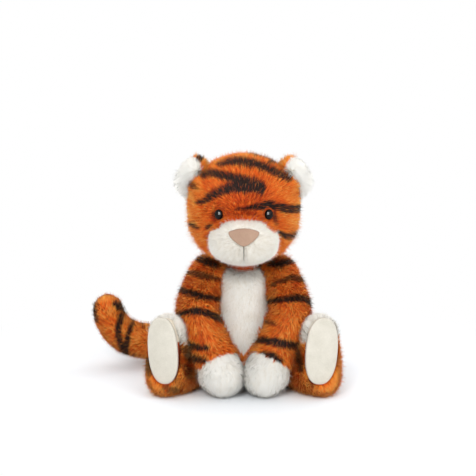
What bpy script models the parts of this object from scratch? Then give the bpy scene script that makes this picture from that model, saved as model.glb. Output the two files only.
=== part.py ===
# Sitting plush tiger: sewn covers of pile fabric over stuffed inner forms, with a pellet pouch
# in the seat, safety eyes held by washers, and a head, arms, legs and tail that move on their seams.
# Metres, +Z up. The toy faces -Y and its own left is +X. The origin is on the floor, at the
# middle of the flat spot that the body sits on.

import math

import bmesh
import bpy
from mathutils import Matrix, Vector

mm = 0.001

# Fabric and clearances
fabricWall = 2.6 * mm
seamGap = 0.3 * mm
ballGap = 0.45 * mm
roomGap = 0.15 * mm
floorCut = 0.5 * mm
reliefMargin = 0.8 * mm
overrun = 30 * mm
blockReach = 240 * mm
sharpEdge = math.radians(40)

# Body
torsoHeight = 124 * mm
torsoHalfWidth = 42 * mm
torsoHalfDepth = 39 * mm
torsoSeatRound = 26 * mm
torsoTopRound = 21 * mm
torsoLean = 4 * mm
torsoWidthShares = (0.93, 1.0, 0.99, 0.91, 0.80, 0.70, 0.62)
torsoDepthShares = (0.93, 1.0, 0.99, 0.90, 0.78, 0.67, 0.58)

# Belly panel, a teardrop
bellyTopDrop = 7 * mm
bellyHeight = 80 * mm
bellyHalfWidth = 24.5 * mm
bellyRound = 14 * mm
bellyWidthShares = (0.20, 0.22, 0.35, 0.55, 0.80, 1.0, 0.90)

# Pellet pouch in the seat
pouchHalfWidth = 17 * mm
pouchHalfDepth = 21 * mm
pouchHeight = 20 * mm
pouchRound = 14 * mm
pouchRiseShares = (-0.5, 0.25, 1.0)

# Neck
neckRadius = 15 * mm
neckSink = 6 * mm
neckCrease = 3 * mm

# Head
headHeight = 103 * mm
headHalfWidth = 55.5 * mm
headHalfDepth = 50 * mm
headForward = 4 * mm
headChinRound = 14 * mm
headCrownRound = 50 * mm
headWidthShares = (0.78, 0.785, 0.925, 0.985, 1.0, 1.0, 1.0)
headDepthShares = (0.78, 0.82, 0.94, 0.99, 1.0, 1.0, 1.0)

# Muzzle
muzzleRise = 0.5 * mm
muzzleHeight = 46 * mm
muzzleHalfWidth = 33 * mm
muzzleHalfDepth = 25 * mm
muzzleSink = 11 * mm
muzzleChinRound = 15 * mm
muzzleBridgeRound = 8 * mm
muzzleWidthShares = (0.86, 0.90, 0.97, 1.0, 0.95, 0.62, 0.56)
muzzleDepthShares = (0.80, 0.92, 1.0, 1.0, 0.90, 0.74, 0.62)

# Nose and mouth: each corner of the nose has a place and a handle
noseTipRise = 23 * mm
noseHeight = 15.5 * mm
noseHalfWidth = 15.3 * mm
noseThickness = 1.7 * mm
noseCornerShares = (
    ((0.0, 0.0), (0.22, 0.0)),
    ((0.90, 0.66), (0.10, 0.13)),
    ((0.80, 0.93), (-0.16, 0.05)),
    ((0.0, 1.0), (-0.35, 0.0)),
    ((-0.80, 0.93), (-0.16, -0.05)),
    ((-0.90, 0.66), (0.10, -0.13)),
)
mouthLength = 13 * mm
mouthRadius = 0.6 * mm
mouthPoints = 12

# Eyes
eyeRise = 51.7 * mm
eyeOut = 24.5 * mm
eyeRadius = 4.4 * mm
eyeBulge = 3.4 * mm
shankRadius = 1.6 * mm
shankLength = 8 * mm
shankStartShare = 0.5
washerRadius = 5.5 * mm
washerThickness = 1.4 * mm

# Ears
earRise = 51 * mm
earHeight = 49 * mm
earHalfWidth = 14.5 * mm
earHalfDepth = 8 * mm
earOut = 53 * mm
earForward = 6 * mm
earLobeRound = 13.5 * mm
earRootRound = 16 * mm
earLean = 5 * mm
earWidthShares = (0.50, 0.66, 0.92, 1.0, 1.0)
earLiningShare = 0.15
earBowShares = (0.0, 0.25, 0.0, -0.90, -2.20)
earFaceTurn = math.radians(28)

# Arms
shoulderHeight = 110 * mm
shoulderStandOff = 8 * mm
shoulderBall = 12 * mm
shoulderRise = 18 * mm
shoulderRadius = 18.5 * mm
elbowHeight = 78 * mm
elbowStandOff = 8.2 * mm
elbowForward = 31 * mm
elbowRadius = 18.5 * mm
upperArmShare = 0.1
wristShare = 0.56
wristRadius = 17.8 * mm
pawRadius = 21.5 * mm
pawGap = 0.6 * mm
pawForward = 57 * mm
pawTipDrop = 17 * mm
pawTipForward = 10 * mm
pawLine = 32 * mm
pawLineTurn = math.radians(28)
armLift = math.radians(40)

# Legs
thighRadius = 21 * mm
hipSink = 2 * mm
hipBall = 16 * mm
thighStartShare = -0.6
thighStationShares = (0.2, 0.6)
thighStartRound = 17 * mm
thighEndRound = 19 * mm
legReach = 64.8 * mm
legSplay = math.radians(34)
legSwing = math.radians(25)
footHeight = 80.5 * mm
footHalfWidth = 18.5 * mm
footHalfDepth = 20 * mm
footWidthShares = (1.0, 1.0, 0.94)
footDepthShares = (0.98, 1.0, 0.86)
footRound = 20 * mm
footStationShares = (0.0, 0.5, 1.0)
footYaw = math.radians(22)
footTilt = math.radians(5)
soleSetForward = 8 * mm
soleThickness = 2.2 * mm
soleInset = 1.6 * mm
soleEdge = 0.8 * mm
soleEdgeAngle = math.radians(50)
toeLine = 59 * mm

# Tail
tailLength = 160 * mm
tailHeight = 22 * mm
tailSink = 1 * mm
tailBall = 12 * mm
tailRadius = 16 * mm
tailTipRound = 13 * mm
tailStuffingHole = 5 * mm
tailHoleReach = 24 * mm
tailSwing = math.radians(60)
tailOutShares = (0.0, 0.14, 0.375, 0.61, 0.775, 0.870, 0.90)
tailBackShares = (0.0, 0.10, 0.10, 0.06, 0.035, 0.025, 0.02)
tailRiseShares = (0.0, -0.005, -0.01, 0.0125, 0.0625, 0.175, 0.33)
tailRadiusShares = (0.66, 0.86, 0.98, 1.0, 1.0, 0.92, 0.80)

# Facets: counts, not sizes
ballSides = 18
ballRings = 9
coarseShare = 0.5
tailCoarseShare = 0.75
curveSamples = 96
armReliefShares = (0.0, 0.2, 0.6, 1.0)
legReliefShares = (0.0, 0.5, 1.0)
tailReliefShares = (0.0,)

axisX = Vector((1, 0, 0))
axisY = Vector((0, 1, 0))
axisZ = Vector((0, 0, 1))


def clearScene():
    for obj in list(bpy.data.objects):
        bpy.data.objects.remove(obj, do_unlink=True)


def makeCollection(name):
    collection = bpy.data.collections.new(name)
    bpy.context.scene.collection.children.link(collection)
    return collection


def makeMaterial(name, colour, roughness, metallic=0.0):
    material = bpy.data.materials.new(name)
    material.use_nodes = True
    shader = material.node_tree.nodes["Principled BSDF"]
    shader.inputs["Base Color"].default_value = (*colour, 1.0)
    shader.inputs["Roughness"].default_value = roughness
    shader.inputs["Metallic"].default_value = metallic
    material.diffuse_color = (*colour, 1.0)
    return material


clearScene()
tiger = makeCollection("plush_tiger")
cutters = makeCollection("cutters")
orangePile = makeMaterial("orange_pile", (0.80, 0.20, 0.03), 0.95)
creamPile = makeMaterial("cream_pile", (0.87, 0.84, 0.76), 0.95)
soleSuede = makeMaterial("sole_suede", (0.84, 0.81, 0.72), 0.9)
noseSuede = makeMaterial("nose_suede", (0.55, 0.39, 0.30), 0.8)
mouthThread = makeMaterial("mouth_thread", (0.06, 0.05, 0.05), 0.7)
eyePlastic = makeMaterial("eye_plastic", (0.01, 0.01, 0.012), 0.12)
washerPlastic = makeMaterial("washer_plastic", (0.75, 0.75, 0.73), 0.5)
whiteStuffing = makeMaterial("white_stuffing", (0.9, 0.9, 0.9), 1.0)
pouchCloth = makeMaterial("pouch_cloth", (0.6, 0.58, 0.5), 0.95)


def makeObject(name, bm, material=None):
    """An object of the toy where a material is given, and else a cutter."""
    mesh = bpy.data.meshes.new(name)
    bm.to_mesh(mesh)
    bm.free()
    obj = bpy.data.objects.new(name, mesh)
    if material:
        mesh.materials.append(material)
        tiger.objects.link(obj)
    else:
        cutters.objects.link(obj)
        obj.hide_render = True
        obj.display_type = "WIRE"
    return obj


def combine(target, operation, *others):
    """Applies one Boolean after another. These closed, finely faceted forms need the manifold
    solver: the exact one leaves open edges where two of them run close together."""
    for other in others:
        modifier = target.modifiers.new(operation.lower(), "BOOLEAN")
        modifier.operation = operation
        modifier.solver = "MANIFOLD"
        modifier.object = other
        graph = bpy.context.evaluated_depsgraph_get()
        mesh = bpy.data.meshes.new_from_object(target.evaluated_get(graph))
        target.modifiers.clear()
        target.data = mesh
    return target


def cut(target, *others):
    return combine(target, "DIFFERENCE", *others)


def keep(target, *others):
    return combine(target, "INTERSECT", *others)


def join(target, *others):
    return combine(target, "UNION", *others)


def smoothed(obj):
    """Shades a soft or turned piece smooth, with its cut edges left sharp."""
    obj.data.shade_smooth()
    obj.data.set_sharp_from_angle(angle=sharpEdge)
    return obj


# Curves through stations

def through(values, share):
    """Catmull-Rom value at a share from 0 to 1 along evenly spaced stations."""
    place = min(max(share, 0.0), 1.0) * (len(values) - 1)
    first = min(int(place), len(values) - 2)
    t = place - first
    before = values[first - 1] if first > 0 else values[0] * 2 - values[1]
    last = len(values) - 1
    after = values[first + 2] if first + 2 <= last else values[last] * 2 - values[last - 1]
    a, b = values[first], values[first + 1]
    bend = before * 2 - a * 5 + b * 4 - after
    return (a * 2 + (b - before) * t + bend * t * t + (a * 3 - before - b * 3 + after) * t ** 3) * 0.5


class SoftForm:
    """A stuffed form: sections that swell and taper along a spine, with rounded ends."""

    def __init__(self, spine, widths, depths, startRound, endRound, sides, rings, across=axisX):
        self.spine = [Vector(point) for point in spine]
        self.widths = widths
        self.depths = depths
        self.startRound = startRound
        self.endRound = endRound
        self.sides = sides
        self.rings = rings
        self.across = across
        self.samples = [through(self.spine, i / curveSamples) for i in range(curveSamples + 1)]
        self.lengths = [0.0]
        for a, b in zip(self.samples, self.samples[1:]):
            self.lengths.append(self.lengths[-1] + (b - a).length)
        self.total = self.lengths[-1]

    def shareAt(self, distance):
        """The spine's own share at a distance along it."""
        distance = min(max(distance, 0.0), self.total)
        for i in range(curveSamples):
            if self.lengths[i + 1] >= distance:
                step = self.lengths[i + 1] - self.lengths[i]
                return (i + (distance - self.lengths[i]) / step) / curveSamples
        return 1.0

    def section(self, distance, grow=0.0):
        """Centre, unit axes and half sizes of the section at a distance, the grown ends included."""
        share = self.shareAt(distance)
        step = 1 / curveSamples
        ahead = through(self.spine, min(share + step, 1.0))
        behind = through(self.spine, max(share - step, 0.0))
        tangent = (ahead - behind).normalized()
        centre = through(self.spine, share)
        beyond = distance - min(max(distance, 0.0), self.total)
        centre = centre + tangent * beyond
        widthAxis = (self.across - tangent * self.across.dot(tangent)).normalized()
        depthAxis = tangent.cross(widthAxis)
        fromStart = distance + grow
        fromEnd = self.total + grow - distance
        rounding = 1.0
        for inward, radius in ((fromStart, self.startRound + grow), (fromEnd, self.endRound + grow)):
            if inward < radius:
                rounding *= math.sqrt(max(0.0, 1 - (1 - inward / radius) ** 2))
        halfWidth = (through(self.widths, share) + grow) * rounding
        halfDepth = (through(self.depths, share) + grow) * rounding
        return centre, widthAxis, depthAxis, halfWidth, halfDepth

    def point(self, distance, angle, grow=0.0):
        centre, widthAxis, depthAxis, halfWidth, halfDepth = self.section(distance, grow)
        return centre + widthAxis * halfWidth * math.cos(angle) + depthAxis * halfDepth * math.sin(angle)

    def solid(self, name, material=None, grow=0.0, share=1.0):
        """The form as a closed mesh: a UV sphere whose rings are moved onto the sections."""
        sides = max(8, 2 * round(self.sides * share / 2))
        rings = max(6, round(self.rings * share))
        bm = bmesh.new()
        bmesh.ops.create_uvsphere(bm, u_segments=sides, v_segments=rings, radius=1)
        for vertex in bm.verts:
            along = (1 - vertex.co.z) / 2
            distance = along * (self.total + 2 * grow) - grow
            angle = math.atan2(vertex.co.y, vertex.co.x)
            vertex.co = self.point(distance, angle, grow)
        bmesh.ops.triangulate(bm, faces=bm.faces)
        bmesh.ops.recalc_face_normals(bm, faces=bm.faces)
        return smoothed(makeObject(name, bm, material))


def makeBall(name, centre, radius, axis, material=None, share=1.0):
    """A sphere whose poles lie on the joint's axis."""
    bm = bmesh.new()
    sides = round(ballSides * share)
    bmesh.ops.create_uvsphere(bm, u_segments=sides, v_segments=round(ballRings * share), radius=radius)
    turn = axisZ.rotation_difference(axis).to_matrix().to_4x4()
    bmesh.ops.transform(bm, matrix=Matrix.Translation(centre) @ turn, verts=bm.verts)
    bmesh.ops.triangulate(bm, faces=bm.faces)
    return smoothed(makeObject(name, bm, material))


def makeRod(name, start, end, radius, sides=10, material=None):
    bm = bmesh.new()
    along = end - start
    bmesh.ops.create_cone(
        bm, cap_ends=True, segments=sides, radius1=radius, radius2=radius, depth=along.length
    )
    turn = axisZ.rotation_difference(along).to_matrix().to_4x4()
    bmesh.ops.transform(bm, matrix=Matrix.Translation((start + end) / 2) @ turn, verts=bm.verts)
    return smoothed(makeObject(name, bm, material))


def makeLooseBall(name, centre, radius, axis):
    """A coarse ball that clears a round one of this radius, for the hidden stuffing."""
    wide = (radius + seamGap) / math.cos(math.pi / (ballSides * coarseShare)) ** 2
    return makeBall(name, centre, wide, axis, share=coarseShare)


def makeSideBlock(name, place, normal):
    """A block that fills the side of a plane that its normal points to."""
    bm = bmesh.new()
    bmesh.ops.create_cube(bm, size=2 * blockReach)
    turn = axisZ.rotation_difference(normal).to_matrix().to_4x4()
    centre = place + normal.normalized() * blockReach
    bmesh.ops.transform(bm, matrix=Matrix.Translation(centre) @ turn, verts=bm.verts)
    return makeObject(name, bm)


def turnedCopy(name, obj, pivot, axis, angle):
    """A cutter's copy, turned about a joint."""
    copy = obj.copy()
    copy.data = obj.data.copy()
    copy.name = name
    cutters.objects.link(copy)
    place = Matrix.Translation(pivot)
    copy.data.transform(place @ Matrix.Rotation(angle, 4, axis) @ place.inverted())
    return copy


def setOrigin(obj, place):
    """Moves a piece's origin onto its joint, with its form left where it is."""
    obj.data.transform(Matrix.Translation(-place))
    obj.location = place


def evenly(half, shares):
    return [half * share for share in shares]


# Body form

torsoSpine = [
    Vector((0, -torsoLean * share ** 2, share * (torsoHeight + floorCut) - floorCut))
    for share in (i / (len(torsoWidthShares) - 1) for i in range(len(torsoWidthShares)))
]
torsoForm = SoftForm(
    torsoSpine,
    evenly(torsoHalfWidth, torsoWidthShares),
    evenly(torsoHalfDepth, torsoDepthShares),
    torsoSeatRound,
    torsoTopRound,
    sides=20,
    rings=13,
)

neckPivot = Vector((0, -torsoLean, torsoHeight - neckSink))


def torsoAt(height):
    """Half width and half depth of the body at a height."""
    return torsoForm.section(height + floorCut)[3:]


# Head forms

headBase = torsoHeight + neckCrease
headSpine = [
    Vector((0, -headForward, headBase + headHeight * i / (len(headWidthShares) - 1)))
    for i in range(len(headWidthShares))
]
headForm = SoftForm(
    headSpine,
    evenly(headHalfWidth, headWidthShares),
    evenly(headHalfDepth, headDepthShares),
    headChinRound,
    headCrownRound,
    sides=22,
    rings=14,
)

muzzleBase = headBase + muzzleRise
muzzleLine = headForward + headHalfDepth - muzzleSink
muzzleForm = SoftForm(
    [
        Vector((0, -muzzleLine, muzzleBase + muzzleHeight * i / (len(muzzleWidthShares) - 1)))
        for i in range(len(muzzleWidthShares))
    ],
    evenly(muzzleHalfWidth, muzzleWidthShares),
    evenly(muzzleHalfDepth, muzzleDepthShares),
    muzzleChinRound,
    muzzleBridgeRound,
    sides=18,
    rings=10,
)


def earForm(side):
    spine = []
    for i, bow in enumerate(earBowShares):
        share = i / (len(earBowShares) - 1)
        out = earOut + earLean * bow
        spine.append(Vector((side * out, -earForward * share, headBase + earRise + earHeight * share)))
    across = Matrix.Rotation(-side * earFaceTurn, 3, "Z") @ axisX
    return SoftForm(
        spine,
        evenly(earHalfWidth, earWidthShares),
        evenly(earHalfDepth, earWidthShares),
        earRootRound,
        earLobeRound,
        sides=14,
        rings=10,
        across=across,
    )


# Limb forms

def shoulderPivot(side):
    halfWidth, _ = torsoAt(shoulderHeight)
    return Vector((side * (halfWidth + shoulderStandOff), 0, shoulderHeight))


def armForm(side):
    pivot = shoulderPivot(side)
    halfWidth, _ = torsoAt(elbowHeight)
    elbow = Vector((side * (halfWidth + elbowStandOff), -elbowForward, elbowHeight))
    paw = Vector((side * (pawRadius + pawGap / 2), -pawForward, pawRadius - floorCut))
    tip = paw - Vector((0, pawTipForward, pawTipDrop))
    wrist = elbow.lerp(paw, wristShare)
    top = pivot + axisZ * shoulderRise
    radii = [shoulderRadius, shoulderRadius, elbowRadius, wristRadius, pawRadius, pawRadius]
    spine = [top, pivot.lerp(elbow, upperArmShare), elbow, wrist, paw, tip]
    return SoftForm(spine, radii, radii, shoulderRadius, pawRadius, sides=14, rings=13)


def hipPivot(side):
    height = thighRadius - floorCut
    halfWidth, _ = torsoAt(height)
    return Vector((side * (halfWidth - hipSink), 0, height))


def legDirection(side, angle):
    return Vector((side * math.sin(angle), -math.cos(angle), 0))


def footCentre(side):
    return hipPivot(side) + legDirection(side, legSplay) * legReach


def thighForm(side):
    pivot = hipPivot(side)
    foot = footCentre(side)
    spine = [pivot + legDirection(side, legSplay) * thighRadius * thighStartShare]
    spine += [pivot.lerp(foot, share) for share in thighStationShares]
    spine.append(foot + legDirection(side, footYaw) * soleSetForward)
    radii = [thighRadius] * len(spine)
    return SoftForm(spine, radii, radii, thighStartRound, thighEndRound, sides=14, rings=8)


def footForm(side):
    base = footCentre(side)
    base.z = -floorCut
    back = -legDirection(side, footYaw) * math.tan(footTilt)
    spine = [base + (axisZ + back) * (footHeight + floorCut) * share for share in footStationShares]
    widths = evenly(footHalfWidth, footWidthShares)
    depths = evenly(footHalfDepth, footDepthShares)
    across = Matrix.Rotation(side * footYaw, 3, "Z") @ axisX
    return SoftForm(spine, widths, depths, footRound, footRound, sides=14, rings=10, across=across)


def tailPivot():
    _, halfDepth = torsoAt(tailHeight)
    return Vector((0, halfDepth - tailSink, tailHeight))


def tailFormAt():
    pivot = tailPivot()
    spine = [
        pivot + Vector((-out, back, rise)) * tailLength
        for out, back, rise in zip(tailOutShares, tailBackShares, tailRiseShares)
    ]
    radii = evenly(tailRadius, tailRadiusShares)
    return SoftForm(spine, radii, radii, tailBall, tailTipRound, sides=12, rings=14, across=axisY)


# Cutters that several pieces share

floorBlock = makeSideBlock("cut_floor", Vector((0, 0, 0)), -axisZ)
seats = [("neck", neckPivot, neckRadius, axisZ), ("tail", tailPivot(), tailBall, axisZ)]
for side, word in ((1, "left"), (-1, "right")):
    seats.append(("shoulder_" + word, shoulderPivot(side), shoulderBall, axisX))
    seats.append(("hip_" + word, hipPivot(side), hipBall, axisZ))
sockets = [makeBall("socket_" + word, at, radius + ballGap, axis) for word, at, radius, axis in seats]
looseSockets = [makeLooseBall("loose_" + word, at, radius, axis) for word, at, radius, axis in seats]
headSocket = makeBall("socket_head", neckPivot, neckRadius + ballGap, axisX)
bellyStations = len(bellyWidthShares)
bellyBase = torsoHeight - bellyTopDrop - bellyHeight
bellyForm = SoftForm(
    [
        Vector((0, -torsoHalfDepth, bellyBase + bellyHeight * i / (bellyStations - 1)))
        for i in range(bellyStations)
    ],
    evenly(bellyHalfWidth, bellyWidthShares),
    [torsoHalfDepth] * bellyStations,
    bellyRound,
    bellyRound,
    sides=18,
    rings=12,
)


def makeTorso():
    inner = torsoForm.solid("cut_torso_inner", grow=-fabricWall, share=coarseShare)
    shell = torsoForm.solid("torso_shell", orangePile)
    cut(shell, inner, *sockets, floorBlock, bellyForm.solid("cut_belly", grow=seamGap))
    panel = torsoForm.solid("belly_panel", creamPile)
    cut(panel, inner, *sockets)
    keep(panel, bellyForm.solid("keep_belly"))
    fillingGrow = -fabricWall - seamGap
    filling = torsoForm.solid("torso_filling", whiteStuffing, fillingGrow, coarseShare)
    pouchForm = SoftForm(
        [axisZ * pouchHeight * share for share in pouchRiseShares],
        [pouchHalfWidth] * len(pouchRiseShares),
        [pouchHalfDepth] * len(pouchRiseShares),
        pouchRound,
        pouchRound,
        sides=14,
        rings=8,
    )
    pouch = pouchForm.solid("bean_bag", pouchCloth)
    keep(pouch, torsoForm.solid("keep_pouch", grow=fillingGrow, share=coarseShare))
    cut(filling, *looseSockets, pouchForm.solid("cut_pouch", grow=seamGap))


def makeNeck():
    """A ball of stuffing between body and head, which the head turns and nods on."""
    makeBall("neck_filling", neckPivot, neckRadius, axisZ, whiteStuffing)


def eyeFrame(side):
    """The eye's place on the head and the way that it faces."""
    distance = eyeRise
    centre, _, _, halfWidth, halfDepth = headForm.section(distance)
    x = side * eyeOut
    y = -halfDepth * math.sqrt(1 - (x / halfWidth) ** 2)
    normal = Vector((x / halfWidth ** 2, y / halfDepth ** 2, 0)).normalized()
    return centre + Vector((x, y, 0)), normal


def makeEye(side, word):
    """A domed eye on a ribbed shank's plain core, and the washer that locks it inside the head."""
    place, normal = eyeFrame(side)
    bm = bmesh.new()
    bmesh.ops.create_uvsphere(bm, u_segments=16, v_segments=8, radius=eyeRadius)
    turn = axisZ.rotation_difference(normal).to_matrix().to_4x4()
    flatten = Matrix.Diagonal((1, 1, eyeBulge / eyeRadius, 1))
    bmesh.ops.transform(bm, matrix=Matrix.Translation(place) @ turn @ flatten, verts=bm.verts)
    eye = smoothed(makeObject("eye_" + word, bm, eyePlastic))
    cut(eye, makeSideBlock("cut_eye_back_" + word, place + normal * seamGap, -normal))
    shankStart = place + normal * (seamGap + eyeBulge * shankStartShare)
    join(eye, makeRod("shank_" + word, shankStart, place - normal * shankLength, shankRadius))
    washerFront = place - normal * (fabricWall + seamGap)
    washerBack = washerFront - normal * washerThickness
    washer = makeRod("eye_washer_" + word, washerFront, washerBack, washerRadius, 14, washerPlastic)
    hole = makeRod(
        "cut_shank_" + word,
        place + normal * overrun,
        place - normal * (shankLength + seamGap),
        shankRadius + seamGap,
    )
    cut(washer, hole)
    pocket = makeRod(
        "cut_washer_" + word,
        place - normal * fabricWall,
        washerBack - normal * seamGap,
        washerRadius + seamGap,
        14,
    )
    return hole, pocket


def makeNose():
    """A suede triangle with round corners that lies on the muzzle's front."""
    curve = bpy.data.curves.new("nose_outline", "CURVE")
    curve.dimensions = "2D"
    curve.fill_mode = "BOTH"
    curve.extrude = muzzleHalfDepth
    spline = curve.splines.new("BEZIER")
    spline.bezier_points.add(len(noseCornerShares) - 1)
    for point, (place, handle) in zip(spline.bezier_points, noseCornerShares):
        at = Vector((place[0] * noseHalfWidth, place[1] * noseHeight, 0))
        reach = Vector((handle[0] * noseHalfWidth, handle[1] * noseHeight, 0))
        point.co = at
        point.handle_left = at - reach
        point.handle_right = at + reach
    spline.use_cyclic_u = True
    curve.resolution_u = 5
    outline = bpy.data.objects.new("nose_outline", curve)
    cutters.objects.link(outline)
    outline.hide_render = True
    stand = Matrix.Rotation(math.radians(90), 4, "X")
    place = Vector((0, -muzzleLine - muzzleHalfDepth, muzzleBase + noseTipRise))
    outline.matrix_world = Matrix.Translation(place) @ stand
    graph = bpy.context.evaluated_depsgraph_get()
    bm = bmesh.new()
    bm.from_mesh(bpy.data.meshes.new_from_object(outline.evaluated_get(graph)))
    bmesh.ops.remove_doubles(bm, verts=bm.verts, dist=seamGap / 10)
    bmesh.ops.transform(bm, matrix=Matrix.Translation(place) @ stand, verts=bm.verts)
    bmesh.ops.recalc_face_normals(bm, faces=bm.faces)
    bpy.data.objects.remove(outline)
    prism = makeObject("keep_nose", bm)
    nose = muzzleForm.solid("nose_patch", noseSuede, grow=noseThickness + seamGap)
    cut(nose, muzzleForm.solid("cut_nose_back", grow=seamGap))
    keep(nose, prism)
    return nose


def makeMouth():
    """The vertical stitch under the nose, laid on the muzzle."""
    curve = bpy.data.curves.new("mouth_stitch", "CURVE")
    curve.dimensions = "3D"
    curve.bevel_depth = mouthRadius
    curve.bevel_resolution = 1
    curve.use_fill_caps = True
    spline = curve.splines.new("POLY")
    spline.points.add(mouthPoints - 1)
    top = noseTipRise - mouthRadius - 2 * seamGap
    for i, point in enumerate(spline.points):
        distance = top - mouthLength * i / (mouthPoints - 1)
        centre, _, _, _, halfDepth = muzzleForm.section(distance)
        point.co = (0, centre.y - halfDepth - mouthRadius - seamGap, centre.z, 1)
    curve.materials.append(mouthThread)
    stitch = bpy.data.objects.new("mouth_stitch", curve)
    tiger.objects.link(stitch)


def makeEar(side, word):
    """Two sewn layers: the orange back, and the white lining that faces forward and out."""
    form = earForm(side)
    head = headForm.solid("cut_ear_head_" + word, grow=seamGap)
    place = form.section(form.total / 2)[0]
    facing = form.section(form.total / 2)[2]
    facing = -facing if facing.y > 0 else facing
    split = place + facing * (earHalfDepth * earLiningShare)
    back = form.solid("ear_back_" + word, orangePile)
    cut(back, head, makeSideBlock("cut_ear_front_" + word, split, facing))
    lining = form.solid("ear_lining_" + word, creamPile)
    behind = split + facing * seamGap
    cut(lining, head, makeSideBlock("cut_ear_back_" + word, behind, -facing))


def makeHead():
    inner = headForm.solid("cut_head_inner", grow=-fabricWall, share=coarseShare)
    muzzleInner = muzzleForm.solid("cut_muzzle_inner", grow=-fabricWall, share=coarseShare)
    shell = headForm.solid("head_shell", orangePile)
    cut(shell, inner, headSocket, muzzleForm.solid("cut_muzzle", grow=seamGap))
    panel = muzzleForm.solid("muzzle_panel", creamPile)
    cut(panel, muzzleInner, inner)
    fillingGrow = -fabricWall - seamGap
    filling = headForm.solid("head_filling", whiteStuffing, fillingGrow, coarseShare)
    join(filling, muzzleForm.solid("join_muzzle", grow=fillingGrow, share=coarseShare))
    cut(filling, looseSockets[0])
    for side, word in ((1, "left"), (-1, "right")):
        hole, pocket = makeEye(side, word)
        cut(shell, hole, pocket)
        cut(filling, hole, pocket)
        makeEar(side, word)
    makeNose()
    makeMouth()


def reliefs(word, pivot, ball, axis, swing, shares):
    """Copies of the body as the limb meets it through its swing, each with room for the limb's ball."""
    made = []
    for step, share in enumerate(shares):
        margin = reliefMargin if step else 0.0
        body = torsoForm.solid(f"relief_{word}_{step}", grow=seamGap + margin)
        cut(body, makeBall(f"room_{word}_{step}", pivot, ball + roomGap, axis))
        angle = -swing * share
        made.append(turnedCopy(f"turned_{word}_{step}", body, pivot, axis, angle) if step else body)
    return made


def makeArm(side, word):
    pivot = shoulderPivot(side)
    form = armForm(side)
    against = reliefs("arm_" + word, pivot, shoulderBall, axisX, -armLift, armReliefShares)
    middle = makeSideBlock("cut_middle_" + word, axisX * (side * pawGap / 2), -side * axisX)
    inner = form.solid("cut_arm_inner_" + word, grow=-fabricWall, share=coarseShare)
    line = Vector((side * (pawRadius + pawGap / 2), -pawForward, pawLine))
    normal = Vector((-side * math.sin(pawLineTurn), -math.sin(pawLineTurn), -math.cos(pawLineTurn)))
    normal.normalize()
    pawSide = makeSideBlock("cut_paw_side_" + word, line, normal)
    sleeveSide = makeSideBlock("cut_sleeve_side_" + word, line + normal * seamGap, -normal)
    sleeve = form.solid("arm_sleeve_" + word, orangePile)
    cut(sleeve, inner, *against, middle, pawSide)
    paw = form.solid("paw_" + word, creamPile)
    cut(paw, inner, middle, sleeveSide, floorBlock)
    fillingGrow = -fabricWall - seamGap
    filling = form.solid("arm_filling_" + word, whiteStuffing, fillingGrow, coarseShare)
    cut(filling, *against)


def makeLeg(side, word):
    pivot = hipPivot(side)
    thigh = thighForm(side)
    foot = footForm(side)
    against = reliefs("leg_" + word, pivot, hipBall, axisZ, side * legSwing, legReliefShares)
    inner = thigh.solid("cut_leg_inner_" + word, grow=-fabricWall, share=coarseShare)
    join(inner, foot.solid("inner_foot_" + word, grow=-fabricWall, share=coarseShare))
    facing = legDirection(side, footYaw)
    middle = footCentre(side)
    middle.z = footHeight / 2
    solePlace = middle + facing * soleSetForward
    soleFacing = (facing + axisZ * math.tan(footTilt)).normalized()
    toe = Vector((0, 0, toeLine))
    front = makeSideBlock("cut_sole_" + word, solePlace, soleFacing)
    above = makeSideBlock("cut_toe_" + word, toe, axisZ)
    below = makeSideBlock("cut_under_toe_" + word, toe + axisZ * seamGap, -axisZ)
    sleeve = thigh.solid("leg_sleeve_" + word, orangePile)
    join(sleeve, makeBall("hip_" + word, pivot, hipBall, axisZ))
    cut(sleeve, inner, *against, front, floorBlock)
    instep = foot.solid("foot_sleeve_" + word, orangePile)
    cut(instep, inner, thigh.solid("cut_thigh_" + word, grow=seamGap), front, above, floorBlock)
    cap = foot.solid("toe_cap_" + word, creamPile)
    cut(cap, inner, front, below)
    fillingGrow = -fabricWall - seamGap
    filling = thigh.solid("leg_filling_" + word, whiteStuffing, fillingGrow, coarseShare)
    join(filling, foot.solid("filling_foot_" + word, grow=fillingGrow, share=coarseShare))
    cut(filling, *against, front)
    makeSole(side, word, foot, solePlace, soleFacing)


def makeSole(side, word, foot, place, facing):
    """A flat suede oval that closes the foot's front: the foot's own section, drawn in a little."""
    sole = foot.solid("sole_" + word, soleSuede, grow=-soleInset)
    start = place + facing * seamGap
    cut(
        sole,
        makeSideBlock("cut_sole_back_" + word, start, -facing),
        makeSideBlock("cut_sole_front_" + word, start + facing * soleThickness, facing),
    )
    bevel = sole.modifiers.new("edge", "BEVEL")
    bevel.width = soleEdge
    bevel.segments = 2
    bevel.limit_method = "ANGLE"
    bevel.angle_limit = soleEdgeAngle


def makeTail():
    form = tailFormAt()
    pivot = tailPivot()
    against = reliefs("tail", pivot, tailBall, axisZ, tailSwing, tailReliefShares)
    inner = form.solid("cut_tail_inner", grow=-fabricWall, share=tailCoarseShare)
    sleeve = form.solid("tail_sleeve", orangePile)
    join(sleeve, makeBall("tail_root", pivot, tailBall, axisZ))
    holeStart = form.section(tailBall)[0]
    hole = makeRod("cut_tail_hole", holeStart, pivot - axisY * tailHoleReach, tailStuffingHole)
    cut(sleeve, inner, *against, hole)
    fillingGrow = -fabricWall - seamGap
    filling = form.solid("tail_filling", whiteStuffing, fillingGrow, tailCoarseShare)
    cut(filling, *against)


def makeMoving(build, pivot, *given):
    """Builds a moving body's pieces and puts their origins on its joint."""
    before = set(tiger.objects)
    build(*given)
    for obj in tiger.objects:
        if obj not in before:
            setOrigin(obj, pivot)


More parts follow.
